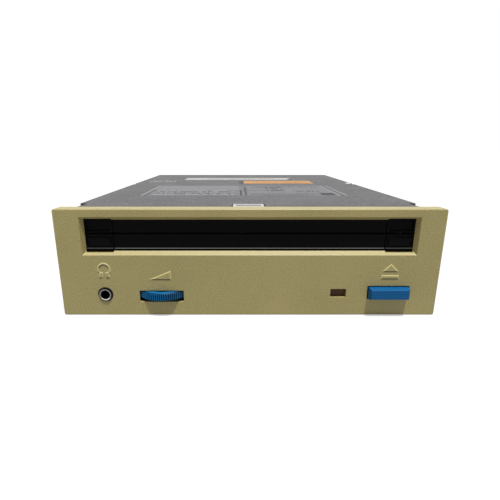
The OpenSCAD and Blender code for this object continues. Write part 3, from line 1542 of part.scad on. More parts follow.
// Rear bridge that carries the clamp arm's hinge
bridge_ahead = [22, 10];
bridge_y = [shaft_y - bridge_ahead[0], shaft_y - bridge_ahead[1]];
bridge_drop = 4.9;
bridge_z = wall_top - bridge_drop;
bridge_leg_inset = 2;
bridge_leg_h = 7;
bridge_t = 1.2;
hinge_x = [8, 11.6];
clamp_hinge_set = 5;
clamp_hinge_y = bridge_y[0] + clamp_hinge_set;
clamp_hinge_drop = 2.3;
clamp_hinge_z = wall_top - clamp_hinge_drop;
clamp_pin_r = 1;
clamp_pin_over = 0.5;
knuckle_r = 1.8;
lug_x = [12, 13.4];
lug_half = 2.2;
lug_roof = 1.8;
module rear_bridge() {
  color(zinc) aft() difference() {
    union() {
      block(both(wall_in), bridge_y, [bridge_z, bridge_z + bridge_t]);
      both_sides() {
        block([wall_in - bridge_t, wall_in],
          [bridge_y[0] + bridge_leg_inset, bridge_y[1] - bridge_leg_inset],
            [bridge_z - bridge_leg_h, bridge_z + cut]);
        block(lug_x, about(clamp_hinge_y, lug_half), [bridge_z + cut, clamp_hinge_z + lug_roof]);
      }
    }
    bar_x(clamp_pin_r + tight, -lug_x[1] - cut, lug_x[1] + cut, [clamp_hinge_y, clamp_hinge_z]);
    block([-lug_x[0] + 2 * near, lug_x[0] - 2 * near],
      [bridge_y[0] - cut, clamp_hinge_y + knuckle_r + loose], [bridge_z - cut, bridge_z + bridge_t + cut]);
  }
}
module clamp_hinge_pin() {
  color(steel) aft()
    bar_x(clamp_pin_r, -lug_x[1] - clamp_pin_over, lug_x[1] + clamp_pin_over,
      [clamp_hinge_y, clamp_hinge_z]);
}

// Clamp arm and the puck that turns in it
arm_half = 11.6;
arm_t = 1;
arm_drop = 1.9;
arm_z = wall_top - arm_drop;
arm_hinge_gap = 1;
arm_rib_t = 1;
arm_rib_h = 0.6;
arm_rib_set = [16, 6];
arm_hole_step = 46;
arm_hole = [12, 40, 3];
arm_end_r = 13.5;
puck_hole_r = 6.6;
puck_neck_r = 6;
puck_r = 10;
puck_drop = [3.6, 0.3];
puck_z = [wall_top - puck_drop[0], wall_top - puck_drop[1]];
puck_chamfer = [1, 0.6];
puck_rim = 2;
module clamp_arm() {
  color(zinc) aft() difference() {
    union() {
      translate([0, 0, arm_z]) linear_extrude(arm_t) {
        translate([0, spindle_y]) circle(arm_end_r);
        translate([-arm_half, spindle_y])
          square([2 * arm_half, clamp_hinge_y - arm_hinge_gap - spindle_y]);
      }
      both_sides() bar_x(knuckle_r, hinge_x[0], hinge_x[1], [clamp_hinge_y, clamp_hinge_z]);
      both_sides()
        block([arm_half - arm_rib_t, arm_half],
          [spindle_y + arm_rib_set[0], clamp_hinge_y - arm_rib_set[1]],
            [arm_z + cut, arm_z + arm_t + arm_rib_h]);
    }
    bar_x(clamp_pin_r + run_gap, -hinge_x[1] - cut, hinge_x[1] + cut, [clamp_hinge_y, clamp_hinge_z]);
    bar_z(puck_hole_r, arm_z - cut, arm_z + arm_t + cut, [0, spindle_y]);
    translate([0, spindle_y + arm_hole_step, arm_z - cut]) linear_extrude(arm_t + 2 * cut)
      round_rect(arm_hole[0], arm_hole[1], arm_hole[2]);
  }
}
module clamp_puck() {
  color(black) aft() translate([0, spindle_y, 0]) rotate_extrude() polygon([
    [0, puck_z[0]],
    [puck_r - puck_chamfer[0], puck_z[0]],
    [puck_r, puck_z[0] + puck_chamfer[1]],
    [puck_r, arm_z - loose],
    [puck_neck_r, arm_z - loose],
    [puck_neck_r, arm_z + arm_t + loose],
    [puck_r - puck_rim, arm_z + arm_t + loose],
    [puck_r - puck_rim, puck_z[1]],
    [0, puck_z[1]]
  ]);
}

chassis();
bottom_cover();
top_cover();
cover_screws();
bottom_cover_screws();
front_bezel();
upper_flap();
lower_flap();
upper_flap_spring();
lower_flap_spring();
headphone_jack();
jack_bushing();
volume_wheel();
volume_pot();
pot_shaft();
activity_window();
activity_led();
eject_button();
eject_spring();
eject_switch();
front_board();
front_ribbon();
main_board();
board_chips();
board_capacitors();
data_header();
data_header_pins();
power_socket();
power_pins();
audio_header();
jumper_header();
mechanism_screws();
optical_base();
rubber_dampers();
guide_rods();
spindle_stator();
spindle_rotor();
turntable();
pickup_sled();
lens_holder();
objective_lens();
sled_motor();
sled_pinion();
sled_gear();
caddy_carrier();
lift_pins();
cam_plate_left();
cam_plate_right();
cam_guide_pins();
cross_shaft();
cross_shaft_gears();
loading_bracket();
loading_motor();
motor_pulley();
belt_pulley();
drive_belt();
rear_bridge();
clamp_hinge_pin();
clamp_arm();
clamp_puck();
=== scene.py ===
import json
import math

import bmesh
import bpy
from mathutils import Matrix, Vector
from mathutils.bvhtree import BVHTree
from mathutils.geometry import delaunay_2d_cdt

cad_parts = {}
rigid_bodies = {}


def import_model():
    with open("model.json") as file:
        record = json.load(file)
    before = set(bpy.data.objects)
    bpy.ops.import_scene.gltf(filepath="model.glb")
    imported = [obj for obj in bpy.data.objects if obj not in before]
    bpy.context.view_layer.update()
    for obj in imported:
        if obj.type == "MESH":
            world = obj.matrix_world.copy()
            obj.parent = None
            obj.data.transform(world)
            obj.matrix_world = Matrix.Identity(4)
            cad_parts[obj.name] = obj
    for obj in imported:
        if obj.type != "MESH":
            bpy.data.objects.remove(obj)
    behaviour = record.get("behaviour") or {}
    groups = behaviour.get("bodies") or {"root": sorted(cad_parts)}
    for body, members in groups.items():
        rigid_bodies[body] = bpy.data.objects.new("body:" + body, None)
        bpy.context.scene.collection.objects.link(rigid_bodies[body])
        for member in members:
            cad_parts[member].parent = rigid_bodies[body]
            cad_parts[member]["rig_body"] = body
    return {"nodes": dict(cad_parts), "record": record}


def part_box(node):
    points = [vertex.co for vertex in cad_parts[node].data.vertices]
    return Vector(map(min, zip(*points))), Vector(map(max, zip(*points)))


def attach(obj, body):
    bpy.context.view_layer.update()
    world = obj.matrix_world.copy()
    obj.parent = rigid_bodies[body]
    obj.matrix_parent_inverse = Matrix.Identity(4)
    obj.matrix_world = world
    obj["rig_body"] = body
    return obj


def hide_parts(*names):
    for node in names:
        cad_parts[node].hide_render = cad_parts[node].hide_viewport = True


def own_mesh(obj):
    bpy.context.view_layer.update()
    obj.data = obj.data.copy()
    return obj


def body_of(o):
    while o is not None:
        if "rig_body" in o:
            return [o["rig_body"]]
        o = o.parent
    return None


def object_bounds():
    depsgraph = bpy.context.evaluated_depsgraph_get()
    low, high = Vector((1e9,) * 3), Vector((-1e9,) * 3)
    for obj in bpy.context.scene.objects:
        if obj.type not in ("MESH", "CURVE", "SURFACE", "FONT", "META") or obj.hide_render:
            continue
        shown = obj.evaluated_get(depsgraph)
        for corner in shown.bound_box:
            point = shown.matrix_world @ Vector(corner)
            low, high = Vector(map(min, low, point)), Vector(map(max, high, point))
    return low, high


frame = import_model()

start_low, start_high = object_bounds()
NODES = frame["nodes"]
SLOT_OF = {part["node"]: part["material_slot"] for part in frame["record"]["subparts"]}
MM = 0.001

# Places on the drive, in millimetres
FACE_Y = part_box("front_bezel")[0][1] / MM
TONGUE_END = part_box("front_bezel")[1][1] / MM
LID_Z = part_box("top_cover")[1][2] / MM
SIDE_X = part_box("chassis")[1][0] / MM
REAR_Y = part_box("top_cover")[1][1] / MM
JACK_AXIS = (-56.75, 8.8)
WHEEL_LOW, WHEEL_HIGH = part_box("volume_wheel")
WHEEL_AXIS = [(WHEEL_LOW[i] + WHEEL_HIGH[i]) / 2 / MM for i in (0, 1)]
WHEEL_R = (WHEEL_HIGH[0] - WHEEL_LOW[0]) / 2 / MM


# Handling of pieces
SHARP_EDGE = 35  # degrees


def deselect_all():
    bpy.ops.object.select_all(action="DESELECT")


def pick(piece):
    deselect_all()
    piece.select_set(True)
    bpy.context.view_layer.objects.active = piece


def edit(piece):
    pick(piece)
    bpy.ops.object.mode_set(mode="EDIT")
    bpy.ops.mesh.select_all(action="SELECT")


def leave_edit():
    bpy.ops.object.mode_set(mode="OBJECT")


def apply_all(piece):
    pick(piece)
    for modifier in list(piece.modifiers):
        bpy.ops.object.modifier_apply(modifier=modifier.name)


def round_edges(piece, width, steps=2, corner=SHARP_EDGE):
    """Rounds the edges sharper than the corner angle; with no width, only their shading is set."""
    if width:
        bevel = piece.modifiers.new("rounded edges", "BEVEL")
        bevel.width = width * MM
        bevel.segments = steps
        bevel.limit_method = "ANGLE"
        bevel.angle_limit = math.radians(corner)
        bevel.use_clamp_overlap = False
        apply_all(piece)
    pick(piece)
    bpy.ops.object.shade_smooth_by_angle(angle=math.radians(corner))
    even = piece.modifiers.new("even shading", "WEIGHTED_NORMAL")
    even.keep_sharp = True
    apply_all(piece)


def settle(piece):
    pick(piece)
    bpy.ops.object.transform_apply(location=True, rotation=True, scale=True)


def join(pieces, name):
    deselect_all()
    for piece in pieces:
        piece.select_set(True)
    bpy.context.view_layer.objects.active = pieces[0]
    bpy.ops.object.join()
    pieces[0].name = name
    return pieces[0]


def paint(piece, finish):
    piece.data.materials.clear()
    piece.data.materials.append(finish)


def seat(piece, body, finish):
    settle(piece)
    paint(piece, finish)
    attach(piece, body)


# Sums and coordinates in a node tree
NOISE_LOW, NOISE_HIGH = 0.3, 0.7


def maths(tree, kind, *values):
    node = tree.nodes.new("ShaderNodeMath")
    node.operation = kind
    for place, value in enumerate(values):
        if isinstance(value, (int, float)):
            node.inputs[place].default_value = value
        else:
            tree.links.new(value, node.inputs[place])
    return node.outputs["Value"]


def above(tree, value, level):
    return maths(tree, "GREATER_THAN", value, level)


def below(tree, value, level):
    return maths(tree, "LESS_THAN", value, level)


def both(tree, first, second):
    return maths(tree, "MULTIPLY", first, second)


def either(tree, first, second):
    return maths(tree, "MAXIMUM", first, second)


def between(tree, value, low, high):
    return both(tree, above(tree, value, low * MM), below(tree, value, high * MM))


def spread(tree, factor, low, high):
    """Stretches the middle of a noise over a range."""
    span = tree.nodes.new("ShaderNodeMapRange")
    span.inputs["From Min"].default_value = NOISE_LOW
    span.inputs["From Max"].default_value = NOISE_HIGH
    span.inputs["To Min"].default_value = low
    span.inputs["To Max"].default_value = high
    tree.links.new(factor, span.inputs["Value"])
    return span.outputs["Result"]


def object_coords(tree):
    return tree.nodes.new("ShaderNodeTexCoord").outputs["Object"]


def axes(tree):
    """Coordinates of a place on a piece, in metres."""
    split = tree.nodes.new("ShaderNodeSeparateXYZ")
    tree.links.new(object_coords(tree), split.inputs[0])
    return split.outputs


def facing(tree):
    """Direction that a surface faces."""
    split = tree.nodes.new("ShaderNodeSeparateXYZ")
    tree.links.new(tree.nodes.new("ShaderNodeTexCoord").outputs["Normal"], split.inputs[0])
    return split.outputs


def from_axis(tree, across, along, axis):
    """Distance from an axis, in metres."""
    first = maths(tree, "SUBTRACT", across, axis[0] * MM)
    second = maths(tree, "SUBTRACT", along, axis[1] * MM)
    square = maths(tree, "ADD", both(tree, first, first), both(tree, second, second))
    return maths(tree, "SQRT", square)


# Shared surface effects: a fine noise is the height, and a broad one is mixed with it for patches
def noise(tree, coords, scale, detail, roughness):
    node = tree.nodes.new("ShaderNodeTexNoise")
    node.inputs["Detail"].default_value = detail
    node.inputs["Roughness"].default_value = roughness
    tree.links.new(coords, node.inputs["Vector"])
    tree.links.new(scale, node.inputs["Scale"])
    return node.outputs["Fac"]


def effect(name, pull, fine, fine_share, broad, broad_share):
    """Fine and broad are a noise's detail and roughness, and pull draws the fine one out."""
    tree = bpy.data.node_groups.new(name, "ShaderNodeTree")
    for label in ("Grain", "Patch"):
        tree.interface.new_socket(label, in_out="INPUT", socket_type="NodeSocketFloat")
    for label in ("Height", "Patches"):
        tree.interface.new_socket(label, in_out="OUTPUT", socket_type="NodeSocketFloat")
    given = tree.nodes.new("NodeGroupInput")
    result = tree.nodes.new("NodeGroupOutput")
    coords = object_coords(tree)
    pulled = tree.nodes.new("ShaderNodeMapping")
    pulled.inputs["Scale"].default_value = pull
    tree.links.new(coords, pulled.inputs["Vector"])
    grain = noise(tree, pulled.outputs["Vector"], given.outputs["Grain"], *fine)
    patch = noise(tree, coords, given.outputs["Patch"], *broad)
    middle = (1 - fine_share - broad_share) / 2
    shifted = maths(tree, "MULTIPLY_ADD", patch, broad_share, middle)
    mixed = maths(tree, "MULTIPLY_ADD", grain, fine_share, shifted)
    tree.links.new(grain, result.inputs["Height"])
    tree.links.new(mixed, result.inputs["Patches"])
    return tree


MOULDED = effect(
    "moulded grain", pull=(1, 1, 1),
    fine=(2.0, 0.55), fine_share=0.75, broad=(3.0, 0.6), broad_share=0.25,
)
ROLLED = effect(
    "rolled sheet", pull=(1, 0.3, 1),
    fine=(3.0, 0.6), fine_share=1.3, broad=(4.0, 0.65), broad_share=0.6,
)


# Finishes
def linear(colour):
    """A colour as it is seen, in 255ths, made linear for a shader."""
    shares = [c / 255 for c in colour]
    return [c / 12.92 if c <= 0.04045 else ((c + 0.055) / 1.055) ** 2.4 for c in shares] + [1.0]


def new_material(name):
    material = bpy.data.materials.new(name)
    material.use_nodes = True
    return material, material.node_tree, material.node_tree.nodes["Principled BSDF"]


def place_effect(tree, shared, grain, patch):
    group = tree.nodes.new("ShaderNodeGroup")
    group.node_tree = shared
    group.inputs["Grain"].default_value = grain
    group.inputs["Patch"].default_value = patch
    return group.outputs


def colour_mix(tree, factor, first, second):
    mix = tree.nodes.new("ShaderNodeMix")
    mix.data_type = "RGBA"
    for place, colour in ((6, first), (7, second)):
        if isinstance(colour, list):
            mix.inputs[place].default_value = colour
        else:
            tree.links.new(colour, mix.inputs[place])
    tree.links.new(factor, mix.inputs[0])
    return mix.outputs[2]


def surface(
    name, shared, dark, light, rough, grain, patch, relief, metal=0.0, specular=0.5, marks=()
):
    """A finish between two colours; relief is the strength and depth of its grain, and each mark
    is a mask and the colour that it gives."""
    material, tree, shader = new_material(name)
    pattern = place_effect(tree, shared, grain, patch)
    share = spread(tree, pattern["Patches"], 0.0, 1.0)
    colour = colour_mix(tree, share, linear(dark), linear(light))
    for mask, ink in marks:
        colour = colour_mix(tree, mask(tree), colour, linear(ink))
    tree.links.new(colour, shader.inputs["Base Color"])
    tree.links.new(spread(tree, pattern["Patches"], *rough), shader.inputs["Roughness"])
    bump = tree.nodes.new("ShaderNodeBump")
    bump.inputs["Strength"].default_value = relief[0]
    bump.inputs["Distance"].default_value = relief[1] * MM
    tree.links.new(pattern["Height"], bump.inputs["Height"])
    tree.links.new(bump.outputs["Normal"], shader.inputs["Normal"])
    shader.inputs["Metallic"].default_value = metal
    shader.inputs["Specular IOR Level"].default_value = specular
    return material


# Marks on the bezel, flaps, socket and wheel, sized in millimetres
TONGUE_ROOT = FACE_Y + 6.3
TONGUE_SKIN = 0.3
TONGUE_SIDE = 5.3
TONGUE_TIP = TONGUE_END - 2.4
TONGUE_BAR = TONGUE_END - 6.2
SLOPE_LOW, SLOPE_HIGH = 0.8, 0.9
FLAT_FRONT = -0.97
UNDERSIDE = -0.15
LIP_FRONT, LIP_HALF = FACE_Y + 2.6, 52.6
LIP_LOW, LIP_HIGH = 26.88, 27.24
LIP_ENDS = 0.5
RING_IN, RING_OUT, RING_FOOT = 1.84, 2.3, 1.3
GROOVE_TOP, GROOVE_FLOOR = WHEEL_R - 0.2, WHEEL_R - 0.6


def tongue_mask(tree):
    _, y, z = axes(tree)
    return both(tree, above(tree, y, TONGUE_ROOT * MM), above(tree, z, (LID_Z - TONGUE_SKIN) * MM))


def tongue_rim_mask(tree):
    x, y, _ = axes(tree)
    side = above(tree, maths(tree, "ABSOLUTE", x), TONGUE_SIDE * MM)
    ends = either(tree, above(tree, y, TONGUE_TIP * MM), below(tree, y, TONGUE_BAR * MM))
    return both(tree, tongue_mask(tree), either(tree, side, ends))


def painted_slope_highlight_mask(tree):
    """Lower slope of the slot's border, painted pale as a highlight."""
    _, _, z = facing(tree)
    return both(tree, above(tree, z, SLOPE_LOW), below(tree, z, SLOPE_HIGH))


def shoulder_highlight_mask(tree):
    """Sloped shoulders of the raised symbols, painted pale as a highlight."""
    _, y, _ = facing(tree)
    return above(tree, y, FLAT_FRONT)


def underside_shade_mask(tree):
    """Undersides of the raised symbols, painted dark as shade."""
    _, _, z = facing(tree)
    return below(tree, z, UNDERSIDE)


def lip_highlight_mask(tree):
    """Lower edge of the lower flap, painted pale as a highlight, and less so near its ends."""
    x, y, z = axes(tree)
    edge = both(tree, between(tree, z, LIP_LOW, LIP_HIGH), below(tree, y, LIP_FRONT * MM))
    middle = below(tree, maths(tree, "ABSOLUTE", x), LIP_HALF * MM)
    return both(tree, edge, maths(tree, "MULTIPLY_ADD", middle, 1 - LIP_ENDS, LIP_ENDS))


def ring_mask(tree):
    """Metal ring round the headphone socket."""
    x, _, z = axes(tree)
    return between(tree, from_axis(tree, x, z, JACK_AXIS), RING_IN, RING_OUT)


def ring_foot_highlight_mask(tree):
    """Lower part of the ring, painted bright as a highlight."""
    _, _, z = axes(tree)
    return both(tree, ring_mask(tree), below(tree, z, (JACK_AXIS[1] - RING_FOOT) * MM))


def groove_shade_mask(tree):
    """Grooves between the ridges of the wheel, painted dark as shade."""
    x, y, _ = axes(tree)
    return between(tree, from_axis(tree, x, y, WHEEL_AXIS), GROOVE_FLOOR, GROOVE_TOP)


BEZEL = surface(
    "bezel plastic", MOULDED, (143, 131, 80), (175, 162, 107),
    rough=(0.34, 0.46), grain=2000, patch=40, relief=(0.9, 0.13),
    marks=[
        # painted highlight on the slot's lower slope
        (painted_slope_highlight_mask, (174, 162, 114)),
        (tongue_mask, (92, 92, 92)),
        (tongue_rim_mask, (174, 172, 168)),
    ],
)
SYMBOL = surface(
    "symbol plastic", MOULDED, (150, 139, 87), (178, 166, 110),
    rough=(0.5, 0.62), grain=2000, patch=40, relief=(0.5, 0.06),
    # painted highlight on the symbols' shoulders and painted shade under them
    marks=[(shoulder_highlight_mask, (192, 180, 126)), (underside_shade_mask, (88, 80, 50))],
)
BLACK = surface(
    "black plastic", MOULDED, (12, 12, 13), (19, 19, 20),
    rough=(0.4, 0.52), grain=1500, patch=90, relief=(0.2, 0.03), specular=0.35,
)
FLAP = surface(
    "flap plastic", MOULDED, (12, 12, 13), (18, 18, 19),
    rough=(0.5, 0.62), grain=1500, patch=90, relief=(0.2, 0.03), specular=0.03,
    # painted highlight along the lower flap's lip
    marks=[(lip_highlight_mask, (112, 113, 110))],
)
SOCKET = surface(
    "socket metal", MOULDED, (8, 8, 9), (12, 12, 13),
    rough=(0.3, 0.4), grain=1500, patch=90, relief=(0.1, 0.02), specular=0.3,
    # metal ring round the socket, with a painted highlight on its lower part
    marks=[(ring_mask, (138, 138, 136)), (ring_foot_highlight_mask, (236, 230, 218))],
)
BLUE = surface(
    "blue plastic", MOULDED, (1, 81, 131), (8, 89, 143),
    rough=(0.4, 0.5), grain=1800, patch=120, relief=(0.15, 0.02), specular=0.18,
)
WHEEL = surface(
    "blue wheel", MOULDED, (4, 96, 148), (12, 106, 162),
    rough=(0.4, 0.5), grain=1800, patch=120, relief=(0.15, 0.02), specular=0.15,
    # painted shade in the grooves of the wheel
    marks=[(groove_shade_mask, (0, 38, 66))],
)
SHEET = surface(
    "zinc sheet", ROLLED, (80, 80, 81), (116, 116, 117),
    rough=(0.5, 0.66), grain=900, patch=45, relief=(0.25, 0.03), metal=0.3, specular=0.2,
)
STEEL = surface(
    "bright steel", ROLLED, (150, 152, 156), (178, 180, 184),
    rough=(0.28, 0.42), grain=2000, patch=80, relief=(0.15, 0.02), metal=0.9,
)
BOARD = surface(
    "board lacquer", MOULDED, (22, 78, 44), (40, 104, 62),
    rough=(0.3, 0.45), grain=700, patch=180, relief=(0.3, 0.04),
)
RUBBER = surface(
    "black rubber", MOULDED, (20, 20, 20), (32, 32, 32),
    rough=(0.7, 0.85), grain=2600, patch=150, relief=(0.4, 0.05),
)
BRASS = surface(
    "plain brass", ROLLED, (172, 140, 66), (196, 166, 92),
    rough=(0.25, 0.4), grain=1800, patch=120, relief=(0.12, 0.02), metal=0.9,
)
AMBER = surface(
    "smoked amber", MOULDED, (60, 36, 14), (84, 54, 24),
    rough=(0.3, 0.4), grain=900, patch=200, relief=(0.05, 0.01), specular=0.2,
)
CREAM = surface(
    "cream plastic", MOULDED, (206, 200, 182), (220, 215, 198),
    rough=(0.42, 0.55), grain=1600, patch=90, relief=(0.2, 0.03),
)
COPPER = surface(
    "enamelled copper", ROLLED, (128, 66, 34), (168, 96, 54),
    rough=(0.3, 0.42), grain=5000, patch=160, relief=(0.6, 0.08), metal=0.7,
)


def lens_finish():
    material, tree, shader = new_material("coated lens")
    patches = place_effect(tree, MOULDED, grain=600, patch=300)["Patches"]
    tint = colour_mix(tree, patches, linear((196, 206, 232)), linear((222, 214, 240)))
    tree.links.new(tint, shader.inputs["Base Color"])
    tree.links.new(spread(tree, patches, 0.02, 0.06), shader.inputs["Roughness"])
    shader.inputs["Transmission Weight"].default_value = 0.8
    shader.inputs["IOR"].default_value = 1.5
    return material


FINISH = {
    "bezel_plastic": BEZEL,
    "black_plastic": BLACK,
    "blue_plastic": BLUE,
    "zinc_sheet": SHEET,
    "steel": STEEL,
    "circuit_board": BOARD,
    "rubber": RUBBER,
    "brass": BRASS,
    "amber": AMBER,
    "cream_plastic": CREAM,
    "copper": COPPER,
    "lens_glass": lens_finish(),
}


# A CAD mesh has long thin triangles in its flat faces, and a rounded edge would fold them over.
# So each flat face gets a margin of quads along its outlines and even triangles inside it. The
# margins that are tried are multiples of the rounded edge's width.
SAME_PLANE = 0.999999
MARGINS = (3.0, 2.0, 1.4, 1.1)
SPARE_ROOM = 1.2
CLEAR_SHARE = 0.97
SHARPEST_TURN = 0.05
SAME_POINT = 0.000001


def flat_regions(shape):
    """Groups the faces of a shape by the flat surface that they lie in."""
    left, regions = set(shape.faces), []
    while left:
        first = left.pop()
        region, queue = [first], [first]
        while queue:
            for edge in queue.pop().edges:
                for face in edge.link_faces:
                    if face in left and face.normal.dot(first.normal) > SAME_PLANE:
                        left.remove(face)
                        region.append(face)
                        queue.append(face)
        regions.append(region)
    return regions


def outlines(region):
    """Closed outlines of a flat region, those of its holes too; none where two of them touch."""
    inside, after, loops = set(region), {}, []
    for face in region:
        for corner in face.loops:
            if not inside.issuperset(corner.edge.link_faces):
                if corner.vert in after:
                    return []
                after[corner.vert] = corner.link_loop_next.vert
    while after:
        start, point = after.popitem()
        loop = [start]
        while point is not start:
            loop.append(point)
            point = after.pop(point)
        loops.append(loop)
    return loops


def drawn_in(loop, normal, width):
    """Places of an outline's points when it is drawn in by a width."""
    spots = []
    for i, point in enumerate(loop):
        arriving = normal.cross(point.co - loop[i - 1].co).normalized()
        leaving = normal.cross(loop[(i + 1) % len(loop)].co - point.co).normalized()
        share = max(1 + arriving.dot(leaving), SHARPEST_TURN)
        spots.append(point.co + (arriving + leaving) * (width / share))
    return spots


def walls_along(loops, rise):
    """A low wall on each edge of the outlines, to measure distances to them."""
    corners, walls = [], []
    for loop in loops:
        for i, point in enumerate(loop):
            start, end = loop[i - 1].co, point.co
            walls.append(list(range(len(corners), len(corners) + 4)))
            corners += [start - rise, end - rise, end + rise, start + rise]
    return BVHTree.FromPolygons(corners, walls)


def fill(rings, normal):
    """Even triangles between rings of points in one plane, each as three places in the list of
    all the points; none where the rings cross or meet."""
    across = normal.orthogonal().normalized()
    along = normal.cross(across)
    flat, borders = [], []
    for ring in rings:
        first = len(flat)
        flat += [Vector((spot.dot(across), spot.dot(along))) / MM for spot in ring]
        borders += [(first + i, first + (i + 1) % len(ring)) for i in range(len(ring))]
    points, _, triangles, _, _, _ = delaunay_2d_cdt(flat, borders, [], 0, SAME_POINT)
    beside = {(each[i - 1], each[i]): tuple(each) for each in triangles for i in range(3)}
    if len(points) != len(flat) or not all(edge in beside for edge in borders):
        return []
    queue = [beside[edge] for edge in borders]
    kept = set(queue)
    while queue:
        each = queue.pop()
        for i in range(3):
            edge = each[i - 1], each[i]
            other = beside.get((edge[1], edge[0]))
            if other and edge not in borders and other not in kept:
                kept.add(other)
                queue.append(other)
    return sorted(kept)


def with_margin(shape, loops, rings, triangles):
    """Makes the quads between the outlines and their drawn-in rings, and the triangles inside."""
    points = []
    for loop, ring in zip(loops, rings):
        inner = [shape.verts.new(spot) for spot in ring]
        points += inner
        for i, point in enumerate(inner):
            shape.faces.new((loop[i - 1], loop[i], point, inner[i - 1]))
    for each in triangles:
        shape.faces.new([points[i] for i in each])


def rebuild(shape, region, width):
    """Builds a flat region anew, and says whether its old faces can go."""
    loops = outlines(region)
    normal = region[0].normal
    if not loops or len(region) == 1:
        return False
    if len(loops) == 1 and len(loops[0]) <= 4:
        shape.faces.new(loops[0])
        return True
    walls = walls_along(loops, normal * width)
    for margin in (width * times for times in MARGINS):
        room = margin * SPARE_ROOM
        tried = [spot for loop in loops for spot in drawn_in(loop, normal, room)]
        if all(walls.find_nearest(spot)[3] > CLEAR_SHARE * room for spot in tried):
            rings = [drawn_in(loop, normal, margin) for loop in loops]
            triangles = fill(rings, normal)
            if triangles:
                with_margin(shape, loops, rings, triangles)
                return True
    if len(loops) == 1:
        shape.faces.new(loops[0])
        return True
    return False


def clean_flats(mesh, width):
    shape = bmesh.new()
    shape.from_mesh(mesh)
    shape.normal_update()
    gone = []
    for region in flat_regions(shape):
        if rebuild(shape, region, width):
            gone += region
    bmesh.ops.delete(shape, geom=gone, context="FACES")
    shape.to_mesh(mesh)
    shape.free()


def finished(node, width=0.0, finish=None, merge=0.003):
    """A copy of a node with rounded edges, which stands for it."""
    source = NODES[node]
    piece = bpy.data.objects.new(node + "_finished", source.data.copy())
    bpy.context.scene.collection.objects.link(piece)
    piece.matrix_world = source.matrix_world
    edit(piece)
    bpy.ops.mesh.remove_doubles(threshold=merge * MM)
    bpy.ops.mesh.customdata_custom_splitnormals_clear()
    bpy.ops.mesh.normals_make_consistent(inside=False)
    leave_edit()
    if width:
        clean_flats(piece.data, width * MM)
    round_edges(piece, width)
    slot = SLOT_OF[node]
    seat(piece, body_of(source)[0], finish or FINISH[slot])
    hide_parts(node)
    return piece


# Nodes that show from outside, with the widths of their rounded edges in millimetres
ROUNDED = {
    "front_bezel": 0.08,
    "eject_button": 0.12,
    "headphone_jack": 0.1,
    "activity_window": 0.08,
    "bottom_cover": 0.1,
    "data_header": 0.1,
    "power_socket": 0.15,
    "audio_header": 0.08,
    "jumper_header": 0.08,
    "caddy_carrier": 0.1,
}
for name, width in ROUNDED.items():
    finished(name, width)
finished("chassis", 0.12, merge=0.03)
finished("volume_wheel", finish=WHEEL)
finished("upper_flap", 0.1, finish=FLAP)
finished("lower_flap", 0.1, finish=FLAP)
finished("jack_bushing", 0.08, finish=SOCKET)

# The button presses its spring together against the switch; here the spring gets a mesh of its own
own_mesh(finished("eject_spring"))


# Raised symbols on the bezel: sizes and places in millimetres, angles in degrees
RELIEF = 0.2
SHOULDER = 0.4
ROOT = 0.3
SOFT_CORNER = 20
RAMP_SIZE, RAMP_X, RAMP_Z = (9.0, 3.8), -35.05, 16.8
EARS_X, EARS_Z = -56.55, 18.9
ARCH_START, ARCH_R = (0.95, 0.3), 2.22
ARCH_DIP, ARCH_RISE, ARCH_STEPS = 27, 1.11, 28
CUP_SIZE, CUP_CORNER, CUP_STEPS = (1.75, 2.7), 0.6, 3
CUP_OUT, CUP_DROP, CUP_TILT = 1.28, 2.05, 6
EJECT_X, ARROW_Z, BAR_Z = 54.8, 18.2, 16.0
ARROW_SIZE, BAR_SIZE = (4.6, 4.6), (6.9, 1.7)


def on_face(x, z):
    """A place a little inside the bezel's face, from which a symbol rises."""
    return x * MM, (FACE_Y + ROOT) * MM, z * MM


def start_plate(size, x, z):
    deselect_all()
    upright = (math.radians(90), 0, 0)
    bpy.ops.mesh.primitive_plane_add(size=MM, location=on_face(x, z), rotation=upright)
    plate = bpy.context.object
    plate.scale = (*size, 1)
    settle(plate)
    return plate


def raise_plate(plate):
    """Raises a flat outline off the bezel on sloped shoulders."""
    edit(plate)
    bpy.ops.mesh.extrude_region_move(TRANSFORM_OT_translate={"value": (0, -ROOT * MM, 0)})
    bpy.ops.mesh.inset(thickness=SHOULDER * MM, depth=RELIEF * MM)
    bpy.ops.mesh.select_all(action="SELECT")
    bpy.ops.mesh.normals_make_consistent(inside=False)
    leave_edit()
    round_edges(plate, 0.0, corner=SOFT_CORNER)


def face_front(plate):
    """Turns a flat outline so that it looks away from the bezel."""
    edit(plate)
    bpy.ops.mesh.normals_make_consistent(inside=False)
    leave_edit()
    if plate.data.polygons[0].normal.y > 0:
        edit(plate)
        bpy.ops.mesh.flip_normals()
        leave_edit()


def turn(degrees, centre):
    bpy.ops.transform.rotate(
        value=math.radians(degrees), orient_axis="Y", center_override=centre
    )


def choose_points(plate, wanted):
    """Selects the points of a plate that are wanted, and opens it for editing."""
    pick(plate)
    bpy.ops.object.mode_set(mode="EDIT")
    bpy.ops.mesh.select_mode(type="VERT")
    bpy.ops.mesh.select_all(action="DESELECT")
    leave_edit()
    for point in wanted(plate.data.vertices):
        point.select = True
    bpy.ops.object.mode_set(mode="EDIT")


def drop_corner(plate, choose):
    """Takes one corner off a plate, leaving a triangle."""
    choose_points(plate, lambda points: [choose(points)])
    bpy.ops.mesh.delete(type="VERT")
    bpy.ops.mesh.select_all(action="SELECT")
    bpy.ops.mesh.edge_face_add()
    leave_edit()
    face_front(plate)


def volume_symbol():
    ramp = start_plate(RAMP_SIZE, RAMP_X, RAMP_Z)
    drop_corner(ramp, lambda points: max(points, key=lambda v: v.co.z - v.co.x))
    raise_plate(ramp)
    ramp.name = "volume_symbol"
    seat(ramp, "body", SYMBOL)


